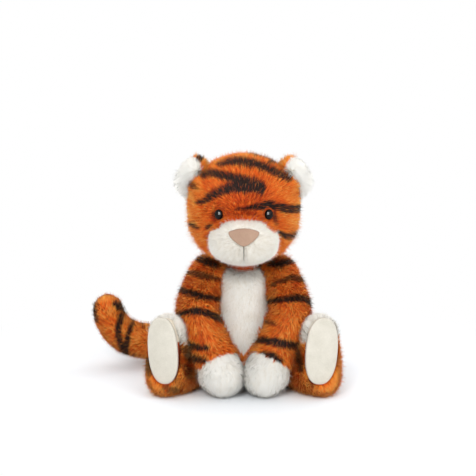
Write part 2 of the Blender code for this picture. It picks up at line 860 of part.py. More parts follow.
makeTorso()
makeMoving(makeNeck, neckPivot)
makeMoving(makeHead, neckPivot)
for side, word in ((1, "left"), (-1, "right")):
    makeMoving(makeArm, shoulderPivot(side), side, word)
    makeMoving(makeLeg, hipPivot(side), side, word)
makeMoving(makeTail, tailPivot())

for label, place in (
    ("neck", neckPivot),
    ("shoulder", shoulderPivot(1)),
    ("hip", hipPivot(1)),
    ("tail", tailPivot()),
):
    print("pivot", label, [round(value / mm, 3) for value in place], "mm")
for obj in tiger.objects:
    print(obj.name, len(obj.data.polygons) if obj.type == "MESH" else "curve")
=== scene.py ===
# Sitting plush tiger: pile, suede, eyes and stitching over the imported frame
import math

import bmesh
import bpy
import numpy as np
from mathutils import Matrix, Vector
from mathutils.bvhtree import BVHTree
from mathutils.kdtree import KDTree


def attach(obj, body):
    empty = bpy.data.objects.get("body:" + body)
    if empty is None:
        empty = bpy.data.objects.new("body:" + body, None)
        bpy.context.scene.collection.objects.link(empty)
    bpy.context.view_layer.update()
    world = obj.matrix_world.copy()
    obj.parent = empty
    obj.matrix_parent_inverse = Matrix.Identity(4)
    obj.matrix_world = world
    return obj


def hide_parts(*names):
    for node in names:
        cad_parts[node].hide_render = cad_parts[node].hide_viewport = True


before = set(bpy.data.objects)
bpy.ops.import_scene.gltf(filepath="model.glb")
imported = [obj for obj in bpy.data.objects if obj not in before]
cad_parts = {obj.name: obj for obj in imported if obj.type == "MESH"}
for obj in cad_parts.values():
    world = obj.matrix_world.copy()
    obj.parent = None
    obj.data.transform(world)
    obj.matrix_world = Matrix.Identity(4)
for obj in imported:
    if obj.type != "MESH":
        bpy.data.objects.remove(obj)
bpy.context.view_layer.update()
mm = 0.001
axisX, axisY, axisZ = np.eye(3)
sides = ((1, "Left"), (-1, "Right"))
scene = bpy.context.scene
print("frame loaded:", len(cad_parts), "nodes")


# Camera, at the photograph's viewing angle

view = {"lens": 85, "sensor": 36, "near": 10, "lookAt": (-5.5, 0, 145.6), "elevation": 11.0, "wide": 476.0}
pixels = 476


def linked(name, data):
    obj = bpy.data.objects.new(name, data)
    scene.collection.objects.link(obj)
    return obj


def aimed(obj, place, target):
    obj.location = place
    obj.rotation_euler = (Vector(target) - Vector(place)).to_track_quat("-Z", "Y").to_euler()


spread = view["sensor"] / 2 / view["lens"]  # half the width of view at a distance of one
tilt = math.radians(view["elevation"])
lookAt = Vector(view["lookAt"]) * mm
cameraAt = lookAt + Vector((0, -math.cos(tilt), math.sin(tilt))) * (view["wide"] * mm / 2 / spread)
camera = linked("camera", bpy.data.cameras.new("camera"))
camera.data.lens = view["lens"]
camera.data.sensor_width = view["sensor"]
camera.data.clip_start = view["near"] * mm
aimed(camera, cameraAt, lookAt)
scene.camera = camera
bpy.context.view_layer.update()


def rayThrough(x, y):
    # the line of sight through a place in the photograph, in its pixels
    across = (x / pixels * 2 - 1) * spread
    up = (1 - y / pixels * 2) * spread
    return (camera.matrix_world.to_quaternion() @ Vector((across, up, -1))).normalized()


def inPhotograph(points):
    # where the camera sees each point, in the photograph's pixels
    turn = np.array(camera.matrix_world.to_3x3().inverted())
    seen = (points - np.array(cameraAt)) @ turn.T
    half = pixels / 2
    scale = half / spread
    return np.stack([half + seen[:, 0] / -seen[:, 2] * scale, half - seen[:, 1] / -seen[:, 2] * scale], 1)


# Materials

def paint(red, green, blue):
    # a colour as it is named in a paint program, 0 to 255
    parts = [c / 255 for c in (red, green, blue)]
    return tuple(c / 12.92 if c <= 0.04045 else ((c + 0.055) / 1.055) ** 2.4 for c in parts) + (1.0,)


def newMaterial(name, roughness, sheen=0.0, specular=0.5):
    material = bpy.data.materials.new(name)
    material.use_nodes = True
    shader = material.node_tree.nodes["Principled BSDF"]
    values = {"Roughness": roughness, "Sheen Weight": sheen, "Sheen Roughness": 0.45}
    for socket, value in dict(values, **{"Specular IOR Level": specular}).items():
        shader.inputs[socket].default_value = value
    return material, material.node_tree, shader


def node(tree, kind, inputs=(), **settings):
    made = tree.nodes.new(kind)
    for key, value in settings.items():
        setattr(made, key, value)
    for key, value in dict(inputs).items():
        if hasattr(value, "is_linked"):
            tree.links.new(value, made.inputs[key])
        else:
            made.inputs[key].default_value = value
    return made


def math2(tree, operation, a, b=0.0):
    return node(tree, "ShaderNodeMath", {0: a, 1: b}, operation=operation).outputs[0]


def ramp(tree, factor, *stops):
    made = node(tree, "ShaderNodeValToRGB", {0: factor})
    elements = made.color_ramp.elements
    while len(elements) < len(stops):
        elements.new(0.5)
    for element, (place, colour) in zip(elements, stops):
        element.position = place
        element.color = colour
    return made.outputs[0]


def mixColours(tree, factor, a, b, how="MIX"):
    return node(tree, "ShaderNodeMix", {0: factor, 6: a, 7: b}, data_type="RGBA", blend_type=how).outputs[2]


def noise(tree, scale, detail, places=None):
    inputs = {"Scale": scale, "Detail": detail}
    if places:
        inputs["Vector"] = places
    return node(tree, "ShaderNodeTexNoise", inputs).outputs[0]


# Each strand's place on the bake map says what it looks like: its column how dark its stripe is,
# its row its own tone, and the height inside the row how far along the strand a point lies.
pileMap = {"stripeSteps": 6, "toneSteps": 12}
white = (1, 1, 1, 1)
pileColours = {
    "orangePile": {
        "tones": [
            (0.0, paint(172, 48, 6)), (0.35, paint(223, 78, 9)), (0.65, paint(242, 102, 15)),
            (1.0, paint(251, 150, 50)),
        ],
        # root: painted shade at each strand's root; end: painted light, golden at its tip
        "root": (0.74, 0.58, 0.44, 1), "end": (0.90, 1.62, 3.6, 1), "sheen": (1.0, 0.60, 0.28, 1),
        "stripe": (paint(28, 16, 12), paint(50, 28, 20)), "roughness": 0.6,
    },
    "creamPile": {
        "tones": [(0.0, paint(234, 227, 213)), (0.5, paint(246, 241, 231)), (1.0, paint(252, 250, 244))],
        "root": (0.98, 0.97, 0.95, 1), "end": white, "sheen": white,
        "stripe": (paint(234, 227, 213), paint(252, 250, 244)), "roughness": 0.7,
    },
}


def pileMaterial(name):
    p = pileColours[name]
    material, tree, shader = newMaterial(name, p["roughness"], 0.25, specular=0.2)
    shader.inputs["Sheen Tint"].default_value = p["sheen"]
    uv = node(tree, "ShaderNodeUVMap", uv_map="OFBake")
    parts = node(tree, "ShaderNodeSeparateXYZ", {0: uv.outputs[0]})
    column = math2(tree, "FLOOR", math2(tree, "MULTIPLY", parts.outputs[0], pileMap["stripeSteps"]))
    stripe = math2(tree, "DIVIDE", column, pileMap["stripeSteps"] - 1)
    rows = math2(tree, "MULTIPLY", parts.outputs[1], pileMap["toneSteps"])
    tone = math2(tree, "DIVIDE", math2(tree, "FLOOR", rows), pileMap["toneSteps"] - 1)
    along = math2(tree, "FRACT", rows)
    # along each strand: painted shade darkens the root and painted light pales the tip; the stripes' dark
    # strands also pale toward the tip as painted light
    fade = ramp(tree, along, (0.05, p["root"]), (0.5, white), (0.95, p["end"]))
    light = mixColours(tree, 1.0, ramp(tree, tone, *p["tones"]), fade, "MULTIPLY")
    dark = ramp(tree, along, (0.1, p["stripe"][0]), (0.9, p["stripe"][1]))
    tree.links.new(mixColours(tree, stripe, light, dark), shader.inputs["Base Color"])
    return material


def dented(tree, shader, scale, detail, strength):
    # a fine grain that also dents the surface
    places = node(tree, "ShaderNodeTexCoord").outputs["Object"]
    grain = noise(tree, scale, detail, places)
    bump = node(tree, "ShaderNodeBump", {"Strength": strength, "Distance": 0.4 * mm, "Height": grain})
    tree.links.new(bump.outputs[0], shader.inputs["Normal"])
    return places, grain


def skinMaterial(name, base, other):
    # the woven backing that the pile grows from, with the dye of the stripes in it
    material, tree, shader = newMaterial(name, 0.9, 0.2, specular=0.1)
    knit = dented(tree, shader, 900.0, 3.0, 0.4)[1]
    stripe = node(tree, "ShaderNodeAttribute", attribute_name="stripe")
    colour = mixColours(tree, stripe.outputs["Fac"], base, other)
    shade = ramp(tree, knit, (0.3, (0.7, 0.7, 0.7, 1)), (0.7, white))
    tree.links.new(mixColours(tree, 1.0, colour, shade, "MULTIPLY"), shader.inputs["Base Color"])
    return material


def suedeMaterial(name, low, high, scale, roughness, sheen):
    material, tree, shader = newMaterial(name, roughness, sheen, specular=0.2)
    places, fine = dented(tree, shader, scale, 4.0, 0.35)
    height = mixColours(tree, 0.35, fine, noise(tree, 90.0, 2.0, places))
    tree.links.new(ramp(tree, height, (0.35, low), (0.65, high)), shader.inputs["Base Color"])
    return material


orange = ("orange_pile", pileMaterial("orangePile"))
cream = ("cream_pile", pileMaterial("creamPile"))
# the backings are a darker orange and cream than their pile: painted shade where they show between the
# strands
orangeBacking = skinMaterial("orangeBacking", paint(176, 70, 22), paint(40, 25, 20))
creamBacking = skinMaterial("creamBacking", paint(222, 210, 190), paint(222, 210, 190))
soleSuede = suedeMaterial("soleSuede", paint(190, 185, 172), paint(208, 203, 191), 1400.0, 0.85, 0.15)
noseSuede = suedeMaterial("noseSuede", paint(150, 121, 102), paint(170, 141, 121), 1600.0, 0.8, 0.15)
mouthThread = suedeMaterial("mouthThread", paint(66, 58, 52), paint(98, 88, 80), 3000.0, 0.7, 0.1)
eyePlastic, eyeTree, eyeShader = newMaterial("eyePlastic", 0.08, specular=0.15)
eyeColour = ramp(eyeTree, noise(eyeTree, 260.0, 2.0), (0.4, paint(5, 4, 4)), (0.7, paint(14, 11, 10)))
eyeTree.links.new(eyeColour, eyeShader.inputs["Base Color"])
print("materials made")


# Forms: sections that swell and taper along a spine, with rounded ends

def through(values, share):
    # a smooth curve through evenly spaced stations
    values = np.asarray(values, float)
    place = np.clip(np.asarray(share, float), 0, 1) * (len(values) - 1)
    first = np.minimum(place.astype(int), len(values) - 2)
    t = place - first
    if values.ndim > 1:
        t = t[..., None]
    ends = np.concatenate([[2 * values[0] - values[1]], values, [2 * values[-1] - values[-2]]])
    a, b, c, d = (ends[first + i] for i in range(4))
    bend, twist = 2 * a - 5 * b + 4 * c - d, 3 * b - a - 3 * c + d
    return 0.5 * (2 * b + (c - a) * t + bend * t ** 2 + twist * t ** 3)


def unit(vectors):
    vectors = np.asarray(vectors, float)
    return vectors / np.maximum(np.linalg.norm(vectors, axis=-1, keepdims=True), 1e-9)


def dot(a, b):
    return (a * b).sum(-1, keepdims=True)


def softForm(spine, widths, depths, rounds, across=(1, 0, 0), half=(1, 1)):
    # sizes in mm; the widths and depths are shares of the two half sizes
    spine = np.asarray(spine, float) * mm
    samples = through(spine, np.linspace(0, 1, 97))
    lengths = np.concatenate([[0], np.cumsum(np.linalg.norm(np.diff(samples, axis=0), axis=1))])
    return {
        "spine": spine, "widths": np.array(widths) * mm * half[0], "depths": np.array(depths) * mm * half[1],
        "startRound": rounds[0] * mm, "endRound": rounds[1] * mm, "across": np.asarray(across, float),
        "lengths": lengths, "total": lengths[-1],
    }


def sectionAt(form, along, grow=0.0):
    # centre, the two axes and the half sizes, for lengths along the spine
    along = np.asarray(along, float)
    share = np.interp(along, form["lengths"], np.linspace(0, 1, 97))
    ahead = through(form["spine"], np.minimum(share + 1 / 96, 1))
    behind = through(form["spine"], np.maximum(share - 1 / 96, 0))
    tangent = unit(ahead - behind)
    beyond = along - np.clip(along, 0, form["total"])
    centre = through(form["spine"], share) + tangent * beyond[..., None]
    side = unit(form["across"] - tangent * (tangent @ form["across"])[..., None])
    front = np.cross(tangent, side)
    rounding = np.ones_like(along)
    for inward, radius in (
        (along + grow, form["startRound"] + grow), (form["total"] + grow - along, form["endRound"] + grow)
    ):
        rounding *= np.sqrt(np.maximum(0, 1 - np.clip(1 - inward / radius, 0, 1) ** 2))
    width = (through(form["widths"], share) + grow) * rounding
    depth = (through(form["depths"], share) + grow) * rounding
    return centre, side, front, width, depth


def formPoint(form, along, angle, grow=0.0):
    centre, side, front, width, depth = sectionAt(form, along, grow)
    angle = np.asarray(angle, float)
    return centre + side * (width * np.cos(angle))[..., None] + front * (depth * np.sin(angle))[..., None]


def ringFaces(rings, around):
    # the faces between rings of points
    faces = []
    for r in range(rings - 1):
        for s in range(around):
            n = (s + 1) % around
            faces.append((r * around + s, r * around + n, (r + 1) * around + n, (r + 1) * around + s))
    return faces


def formMesh(form, grow, around=40, rings=56):
    # rings closer together at the round ends
    turn = np.linspace(0, math.pi, rings + 1)
    along = (1 - np.cos(turn)) / 2 * (form["total"] + 2 * grow) - grow
    angles = np.linspace(0, 2 * math.pi, around, endpoint=False)
    grid = formPoint(form, np.repeat(along[1:-1], around), np.tile(angles, rings - 1), grow)
    points = np.concatenate([grid, formPoint(form, along[[0, -1]], [0.0, 0.0], grow)])
    faces = ringFaces(rings - 1, around)
    last = (rings - 2) * around
    for s in range(around):
        n = (s + 1) % around
        faces += [(len(grid), n, s), (len(grid) + 1, last + s, last + n)]
    return points, faces


def newObject(name, points, faces, material=None):
    mesh = bpy.data.meshes.new(name)
    mesh.from_pydata([tuple(q) for q in points], [], faces)
    if material:
        mesh.materials.append(material)
    return linked(name, mesh)


def faceOutward(obj):
    bm = bmesh.new()
    bm.from_mesh(obj.data)
    bmesh.ops.recalc_face_normals(bm, faces=bm.faces)
    bm.to_mesh(obj.data)
    bm.free()


def read(collection, what, kind=float):
    values = np.empty(len(collection) * 3, kind)
    collection.foreach_get(what, values)
    return values.reshape(-1, 3)


def meshArrays(obj):
    # places and normals of the corners, and the three corners of each triangle
    mesh = obj.data
    mesh.calc_loop_triangles()
    corners = read(mesh.loop_triangles, "vertices", int)
    return read(mesh.vertices, "co"), read(mesh.vertex_normals, "vector"), corners


# Backings sink under the solids' surface by these, and their pile comes out again over it
backing = {
    "sink": 4.5 * mm, "muzzle": 2.8 * mm, "tail": 2.2 * mm, "arm": 2.6 * mm, "thigh": 2.2 * mm, "foot": 0.75,
    "ear": 3.2 * mm, "pile": 4.0 * mm, "voxel": 1.8 * mm, "earVoxel": 1.4 * mm, "floor": 0.6 * mm,
}


def skinOf(name, parts, smoothing, shape=None, voxel=backing["voxel"], material=orangeBacking):
    # the stuffed shape of one body: its forms melted into one closed backing
    points, faces = [], []
    for form, grow in parts:
        made, madeFaces = formMesh(form, grow)
        faces += [tuple(i + len(points) for i in face) for face in madeFaces]
        points += list(made)
    skin = newObject(name + "Backing", points, faces)
    faceOutward(skin)
    melt = skin.modifiers.new("melt", "REMESH")
    melt.mode = "VOXEL"
    melt.voxel_size = voxel
    relax = skin.modifiers.new("relax", "SMOOTH")
    relax.factor = 0.5
    relax.iterations = smoothing
    mesh = bpy.data.meshes.new_from_object(skin.evaluated_get(bpy.context.evaluated_depsgraph_get()))
    skin.modifiers.clear()
    skin.data = mesh
    places = read(mesh.vertices, "co")
    if shape:
        places = shape(places)
    places[:, 2] = np.maximum(places[:, 2], backing["floor"])
    mesh.vertices.foreach_set("co", places.ravel())
    mesh.update()
    mesh.shade_smooth()
    mesh.materials.append(material)
    return skin



def surfaceTree(obj, proud=0.0):
    points, normals, corners = meshArrays(obj)
    points = points + normals * proud
    return BVHTree.FromPolygons([tuple(q) for q in points], [tuple(c) for c in corners.tolist()])


def depthInside(points, tree):
    # how far each point lies inside a closed surface, negative where it is outside
    depth = np.empty(len(points))
    for i, place in enumerate(points):
        near, normal, _, gap = tree.find_nearest(place)
        depth[i] = gap if (Vector(place) - near).dot(normal) < 0 else -gap
    return depth


def wander(points, wave, seed):
    # a smooth random vector at each point, with features of about this wavelength
    rng = np.random.default_rng(seed)
    value = np.zeros_like(points)
    for _ in range(6):
        direction = unit(rng.normal(size=3)) * (2 * math.pi / wave) * rng.uniform(0.7, 1.5)
        phase = rng.uniform(0, 2 * math.pi, 3)
        value += np.sin((points @ direction)[:, None] + phase) / 2.4
    return value


# Stripes: curves on the backing, traced where the photograph shows them and carried on behind

stripeSizes = {"wider": 1.35, "soft": 1.9, "ragged": 0.8, "reach": 13}


def sightOn(tree, marks):
    # photograph places put onto the backing; a place just off its edge goes to the nearest point
    found = []
    for x, y in marks:
        ray = rayThrough(x, y)
        hit = tree.ray_cast(cameraAt, ray)[0]
        if hit is None:
            reach = (lookAt - cameraAt).dot(ray)
            for _ in range(4):
                hit = tree.find_nearest(cameraAt + ray * reach)[0]
                reach = (hit - cameraAt).dot(ray)
        found.append(tuple(hit))
    return np.array(found)


def drawn(tree, marks, width, strength=1.0):
    # a stripe through photograph places, thin at its ends unless its widths are given
    t = np.linspace(0, 1, max(8, 4 * len(marks)))
    if len(marks) > 2:
        flat = through(marks, t)
    else:
        flat = np.array(marks[0]) + np.outer(t, np.subtract(marks[1], marks[0]))
    if isinstance(width, (int, float)):
        width = (0.5 * width, width, width, 0.5 * width)
    widths = np.interp(t, np.linspace(0, 1, len(width)), width)
    return {"curve": sightOn(tree, flat), "flat": flat, "widths": widths, "strength": strength}


def carried(form, wave, start, end, width):
    # a stripe round a form, from one (share along, turn in degrees) to another
    t = np.linspace(0, 1, 22)
    along = (start[0] + (end[0] - start[0]) * t + wave * np.sin(t * 2 * math.pi)) * form["total"]
    angle = np.radians(start[1] + (end[1] - start[1]) * t)
    widths = width * (0.35 + 0.65 * np.sin(np.pi * np.clip(t, 0.04, 0.96)) ** 0.6)
    return {"curve": formPoint(form, along, angle), "flat": None, "widths": widths, "strength": 1.0}


def ringed(form, shift, wave, rows):
    # stripes round a form, each moved along by the shift from its start to its end
    return [carried(form, wave, (share, a), (share + shift, b), width) for share, a, b, width in rows]


def fromLine(points, line, widths):
    # distance from a line less its half width there, and the distance alone
    edge, gap = np.full(len(points), 1e3), np.full(len(points), 1e3)
    for a, b, wa, wb in zip(line[:-1], line[1:], widths[:-1], widths[1:]):
        along = b - a
        t = np.clip(((points - a) @ along) / max(along @ along, 1e-12), 0, 1)
        away = np.linalg.norm(points - a - t[:, None] * along, axis=1)
        edge = np.minimum(edge, away - (wa + (wb - wa) * t) / 2)
        gap = np.minimum(gap, away)
    return edge, gap


def stripeAt(points, stripes, seed=5):
    # how dark each point is dyed, 0 to 1
    dark = np.zeros(len(points))
    points = points / mm
    flat = inPhotograph(points * mm)
    ragged = wander(points, 8.0, seed)[:, 0] * 0.6 + wander(points, 2.8, seed + 1)[:, 0] * 0.4
    for stripe in stripes:
        curve = stripe["curve"] / mm
        near = np.linalg.norm(points - curve.mean(0), axis=1) < np.ptp(curve, axis=0).max() + 16
        if not near.any():
            continue
        widths = stripe["widths"] * stripeSizes["wider"]
        edge, gap = fromLine(points[near], curve, widths)
        if stripe["flat"] is not None:
            edge = fromLine(flat[near], stripe["flat"], widths)[0]
            edge = edge + np.maximum(0, gap - stripeSizes["reach"])
        edge = edge - ragged[near] * stripeSizes["ragged"]
        shade = np.clip(0.5 - edge / stripeSizes["soft"], 0, 1) * stripe["strength"]
        dark[near] = np.maximum(dark[near], shade)
    return dark


# The pile itself: flat tapering strands that lean with the nap and gather in small tufts

guardHair = {"lean": 0.5, "length": 1.25, "width": 0.55}
dyeing = {"spread": 0.5, "mixed": 0.08, "strength": (0.1, 0.7)}
toning = {"broad": (18, 0.10), "fine": (3.2, 0.14), "each": 0.15, "sides": 0.16}


def scatter(obj, perSquareMm, seed):
    points, normals, corners = meshArrays(obj)
    a, b, c = (points[corners[:, i]] for i in range(3))
    areas = np.linalg.norm(np.cross(b - a, c - a), axis=1) / 2
    rng = np.random.default_rng(seed)
    count = int(areas.sum() / mm ** 2 * perSquareMm)
    chosen = rng.choice(len(areas), count, p=areas / areas.sum())
    r1, r2 = np.sqrt(rng.random(count)), rng.random(count)
    weights = np.stack([1 - r1, r1 * (1 - r2), r1 * r2], 1)
    roots = (points[corners[chosen]] * weights[..., None]).sum(1)
    facing = unit((normals[corners[chosen]] * weights[..., None]).sum(1))
    return roots, facing


def growPile(name, roots, facing, nap, length, stripes, pile, material, seed, tint):
    rng = np.random.default_rng(seed)
    count = len(roots)
    nap = unit(nap - facing * dot(nap, facing))
    length = length * rng.uniform(1 - pile["uneven"], 1 + pile["uneven"] * 0.6, count)
    stray = wander(roots, 14 * mm, seed) * pile["flow"]
    stray += wander(roots, 5 * mm, seed + 1) * pile["flow"] * 0.6
    stray += rng.normal(size=(count, 3)) * pile["stray"]
    # a few guard hairs stand up out of the pile
    guard = rng.random(count) < pile["guard"]
    lean = math.radians(pile["lean"]) * np.where(guard, guardHair["lean"], 1)[:, None]
    length = length * np.where(guard, guardHair["length"], 1)
    early = unit(facing * np.cos(lean * 0.55) + nap * np.sin(lean * 0.55) + stray * 0.6)
    late = unit(facing * np.cos(lean * 1.35) + nap * np.sin(lean * 1.35) + stray)
    late = unit(late + facing * np.maximum(0, 0.12 - dot(late, facing)))
    steps = np.array([0.0, 0.36, 0.7, 1.0])
    line = [roots - facing * 0.4 * mm]
    for i in range(3):
        middle = (steps[i] + steps[i + 1]) / 2
        heading = unit(early * (1 - middle) + late * middle)
        line.append(line[-1] + heading * (length * (steps[i + 1] - steps[i]))[:, None])
    line = np.stack(line, 1)
    # tufts: each strand's end is drawn toward that of the nearest leader
    leaders = rng.choice(count, max(1, int(count / pile["perTuft"])), replace=False)
    finder = KDTree(len(leaders))
    for i, leader in enumerate(leaders):
        finder.insert(roots[leader], i)
    finder.balance()
    leader = leaders[[finder.find(root)[1] for root in roots]]
    pull = line[leader, 3] + (roots - roots[leader]) * 0.4 - line[:, 3]
    pull *= (pile["tuft"] * rng.uniform(0.5, 1.0, count))[:, None]
    pull *= (~guard & ~guard[leader] & (np.abs(length - length[leader]) < 0.5 * length))[:, None]
    for i, step in enumerate(steps):
        line[:, i] += pull * step ** 1.5
    # the stripes are dyed where they show, on the upper part of each strand
    shownAt = line[:, 2] + rng.normal(size=(count, 3)) * dyeing["spread"] * mm
    stripe = stripeAt(shownAt, stripes) if stripes else np.zeros(count)
    stripe *= np.where(rng.random(count) < dyeing["mixed"], rng.uniform(*dyeing["strength"], count), 1)
    across = unit(np.cross(late, facing) + rng.normal(size=(count, 3)) * 0.55)
    across = unit(across - late * dot(across, late))
    halves = np.outer(np.where(guard, guardHair["width"], 1), np.array([0.8, 1.0, 0.72]) * pile["width"] / 2)
    corners = []
    for i in range(3):
        half = halves[:, i:i + 1]
        corners += [line[:, i] - across * half, line[:, i] + across * half]
    corners = np.stack(corners + [line[:, 3]], 1)
    low = 0.3 * mm + rng.random((count, 1)) * 0.5 * mm
    corners[..., 2] = np.maximum(corners[..., 2], low)
    ribbon = np.cross(across, late)
    ribbon *= np.where(dot(ribbon, facing) < 0, -1, 1)
    shading = facing * pile["smooth"] + ribbon * (1 - pile["smooth"])
    shading = unit(shading + rng.normal(size=(count, 3)) * 0.07)
    shading = unit(shading + np.array((0, -1, 0.4)) * pile["through"])
    # each strand has two four-cornered faces and a pointed one, wound to face the way it is shaded
    flip = dot(np.cross(corners[:, 1] - corners[:, 0], corners[:, 3] - corners[:, 0]), shading) < 0
    first = np.arange(count)[:, None]
    index = np.where(flip, (2, 3, 1, 0, 4, 5, 3, 2, 6, 5, 4), (0, 1, 3, 2, 2, 3, 5, 4, 4, 5, 6))
    index = (first * 7 + index).ravel()
    mesh = bpy.data.meshes.new(name)
    mesh.vertices.add(count * 7)
    mesh.vertices.foreach_set("co", corners.astype(np.float32).ravel())
    mesh.loops.add(count * 11)
    mesh.polygons.add(count * 3)
    mesh.polygons.foreach_set("loop_start", (first * 11 + (0, 4, 8)).ravel().astype(np.int32))
    mesh.polygons.foreach_set("vertices", index.astype(np.int32))
    # the place on the bake map: column, row, and height inside the row
    columns, rows = pileMap["stripeSteps"], pileMap["toneSteps"]
    column = np.clip(np.round(stripe * (columns - 1)), 0, columns - 1)
    tone = 0.5
    for number, (wave, share) in enumerate((toning["broad"], toning["fine"])):
        tone = tone + share * wander(roots, wave * mm, seed + 3 + number)[:, 0]
    tone += rng.normal(size=count) * toning["each"]
    tone += toning["sides"] * (1 - np.abs(facing[:, 1]))  # paler where light comes through the pile
    tone = tone + (tint(roots) if callable(tint) else tint)
    row = np.clip(np.floor(tone * rows), 0, rows - 1)
    u = (column[:, None] + (0.15, 0.85, 0.15, 0.85, 0.15, 0.85, 0.5)) / columns
    v = (row[:, None] + (0.05, 0.05, 0.36, 0.36, 0.68, 0.68, 0.95)) / rows
    both = np.stack([u.ravel()[index], v.ravel()[index]], 1)
    mesh.uv_layers.new(name="OFBake").data.foreach_set("uv", both.astype(np.float32).ravel())
    mesh.update(calc_edges=True)
    mesh.shade_smooth()
    mesh.normals_split_custom_set_from_vertices(np.repeat(shading, 7, axis=0))
    mesh.materials.append(material)
    print("pile", name, count, "strands")
    return linked(name, mesh)


# Forms of this toy, in the sizes of the part

shares = np.linspace(0, 1, 7)
body = {
    "height": 124, "half": (42, 39), "lean": 4, "floorCut": 0.5, "rounds": (26, 21),
    "widths": (0.93, 1.0, 0.99, 0.91, 0.80, 0.70, 0.62), "depths": (0.93, 1.0, 0.99, 0.90, 0.78, 0.67, 0.58),
}
cut = body["floorCut"]
torsoForm = softForm(
    [(0, -body["lean"] * s * s, s * (body["height"] + cut) - cut) for s in shares],
    body["widths"], body["depths"], body["rounds"], half=body["half"],
)

headSizes = {
    "base": 127, "height": 103, "half": (55.5, 50), "forward": 4, "rounds": (14, 50),
    "widths": (0.78, 0.785, 0.925, 0.985, 1.0, 1.0, 1.0), "depths": (0.78, 0.82, 0.94, 0.99, 1.0, 1.0, 1.0),
}
muzzleSizes = {
    "base": 127.5, "height": 46, "half": (33, 25), "forward": 43, "rounds": (15, 8), "lower": 2.0,
    "widths": (0.86, 0.90, 0.97, 1.0, 0.95, 0.62, 0.56), "depths": (0.80, 0.92, 1.0, 1.0, 0.90, 0.74, 0.62),
}


def uprightForm(s):
    spine = [(0, -s["forward"], s["base"] + s["height"] * share) for share in shares]
    return softForm(spine, s["widths"], s["depths"], s["rounds"], half=s["half"])


headForm = uprightForm(headSizes)
muzzleForm = uprightForm(muzzleSizes)
muzzleBase, muzzleLine = muzzleSizes["base"] * mm, -muzzleSizes["forward"] * mm

armSizes = {
    "shoulder": (8, 110), "rise": 18, "elbow": (8.2, 31, 78), "wristShare": 0.56, "tip": (0, 10, 17),
    "radii": (18.5, 18.5, 18.5, 17.8, 21.5, 21.5), "pawRadius": 21.5, "pawGap": 0.6, "pawForward": 57,
    "pawLine": 32, "pawTurn": 28, "overlap": 4.5,
}


def torsoHalf(height):
    return sectionAt(torsoForm, np.array([(height + cut) * mm]))[3][0] / mm


def armFormOf(side):
    a = armSizes
    (outward, shoulder), (bend, ahead, height) = a["shoulder"], a["elbow"]
    pivot = np.array((side * (torsoHalf(shoulder) + outward), 0, shoulder))
    elbow = np.array((side * (torsoHalf(height) + bend), -ahead, height))
    paw = np.array((side * (a["pawRadius"] + a["pawGap"] / 2), -a["pawForward"], a["pawRadius"] - cut))
    wrist, tip = elbow + (paw - elbow) * a["wristShare"], paw - np.array(a["tip"])
    spine = [pivot + axisZ * a["rise"], pivot + (elbow - pivot) * 0.1, elbow, wrist, paw, tip]
    return softForm(spine, a["radii"], a["radii"], (a["radii"][0], a["pawRadius"]))


legSizes = {
    "thighRadius": 21, "thighRounds": (17, 19), "hipSink": 2, "reach": 64.8, "splay": 34, "yaw": 22,
    "tilt": 5, "footHeight": 80.5, "footHalf": (18.5, 20), "footWidths": (1.0, 1.0, 0.94),
    "footDepths": (0.98, 1.0, 0.86), "footRounds": (20, 20), "soleForward": 8, "toeLine": 59,
}


def turned(side, degrees):
    angle = math.radians(degrees)
    return np.array((side * math.sin(angle), -math.cos(angle), 0))


def legFormsOf(side):
    # thigh and foot, the place and facing of the foot's front, and the hip
    g = legSizes
    hip = np.array((side * (torsoHalf(g["thighRadius"] - cut) - g["hipSink"]), 0, g["thighRadius"] - cut))
    out, facing, lean = turned(side, g["splay"]), turned(side, g["yaw"]), math.tan(math.radians(g["tilt"]))
    foot = hip + out * g["reach"]
    start, end = hip - out * g["thighRadius"] * 0.6, foot + facing * g["soleForward"]
    radii = [g["thighRadius"]] * 4
    spine = [start, hip + (foot - hip) * 0.2, hip + (foot - hip) * 0.6, end]
    thigh = softForm(spine, radii, radii, g["thighRounds"])
    base = foot * (1, 1, 0) - axisZ * cut
    spine = [base + (axisZ - facing * lean) * (g["footHeight"] + cut) * s for s in (0, 0.5, 1)]
    yaw = math.radians(g["yaw"]) * side
    across = (math.cos(yaw), math.sin(yaw), 0)
    footForm = softForm(spine, g["footWidths"], g["footDepths"], g["footRounds"], across, g["footHalf"])
    middle = foot * (1, 1, 0) + axisZ * g["footHeight"] / 2
    return thigh, footForm, (middle + facing * g["soleForward"]) * mm, unit(facing + axisZ * lean), hip * mm


tailSizes = {
    "length": 160, "root": (0, 37.732, 22), "radius": 16, "rounds": (12, 13),
    "out": (0.0, 0.14, 0.375, 0.61, 0.775, 0.870, 0.90), "back": (0.0, 0.10, 0.10, 0.06, 0.035, 0.025, 0.02),
    "rise": (0.0, -0.005, -0.01, 0.0125, 0.0625, 0.175, 0.33),
    "radii": (0.66, 0.86, 0.98, 1.0, 1.0, 0.92, 0.80),
}
t = tailSizes
tailSpine = [np.array((-o, b, r)) * t["length"] for o, b, r in zip(t["out"], t["back"], t["rise"])]
tailForm = softForm(
    np.array(t["root"]) + tailSpine, t["radii"], t["radii"], t["rounds"], (0, 1, 0), [t["radius"]] * 2,
)

earSizes = {
    "rise": 51, "height": 49, "half": (14.5, 8), "out": 53, "forward": 6, "bow": 5, "turn": 28,
    "widths": (0.50, 0.66, 0.92, 1.0, 1.0), "bows": (0.0, 0.25, 0.0, -0.9, -2.2), "rounds": (16, 13.5),
}


def earFormOf(side):
    e = earSizes
    base = headSizes["base"] + e["rise"]
    spine = [
        (side * (e["out"] + e["bow"] * bow), -e["forward"] * s, base + e["height"] * s)
        for s, bow in zip(np.linspace(0, 1, 5), e["bows"])
    ]
    turn = -side * math.radians(e["turn"])
    across = (math.cos(turn), math.sin(turn), 0)
    return softForm(spine, e["widths"], e["widths"], e["rounds"], across, e["half"])


eyeSizes = {"rise": 50.6, "out": 24.5, "radius": 4.3, "tall": 1.16, "bulge": 3.4, "stand": -1.3}


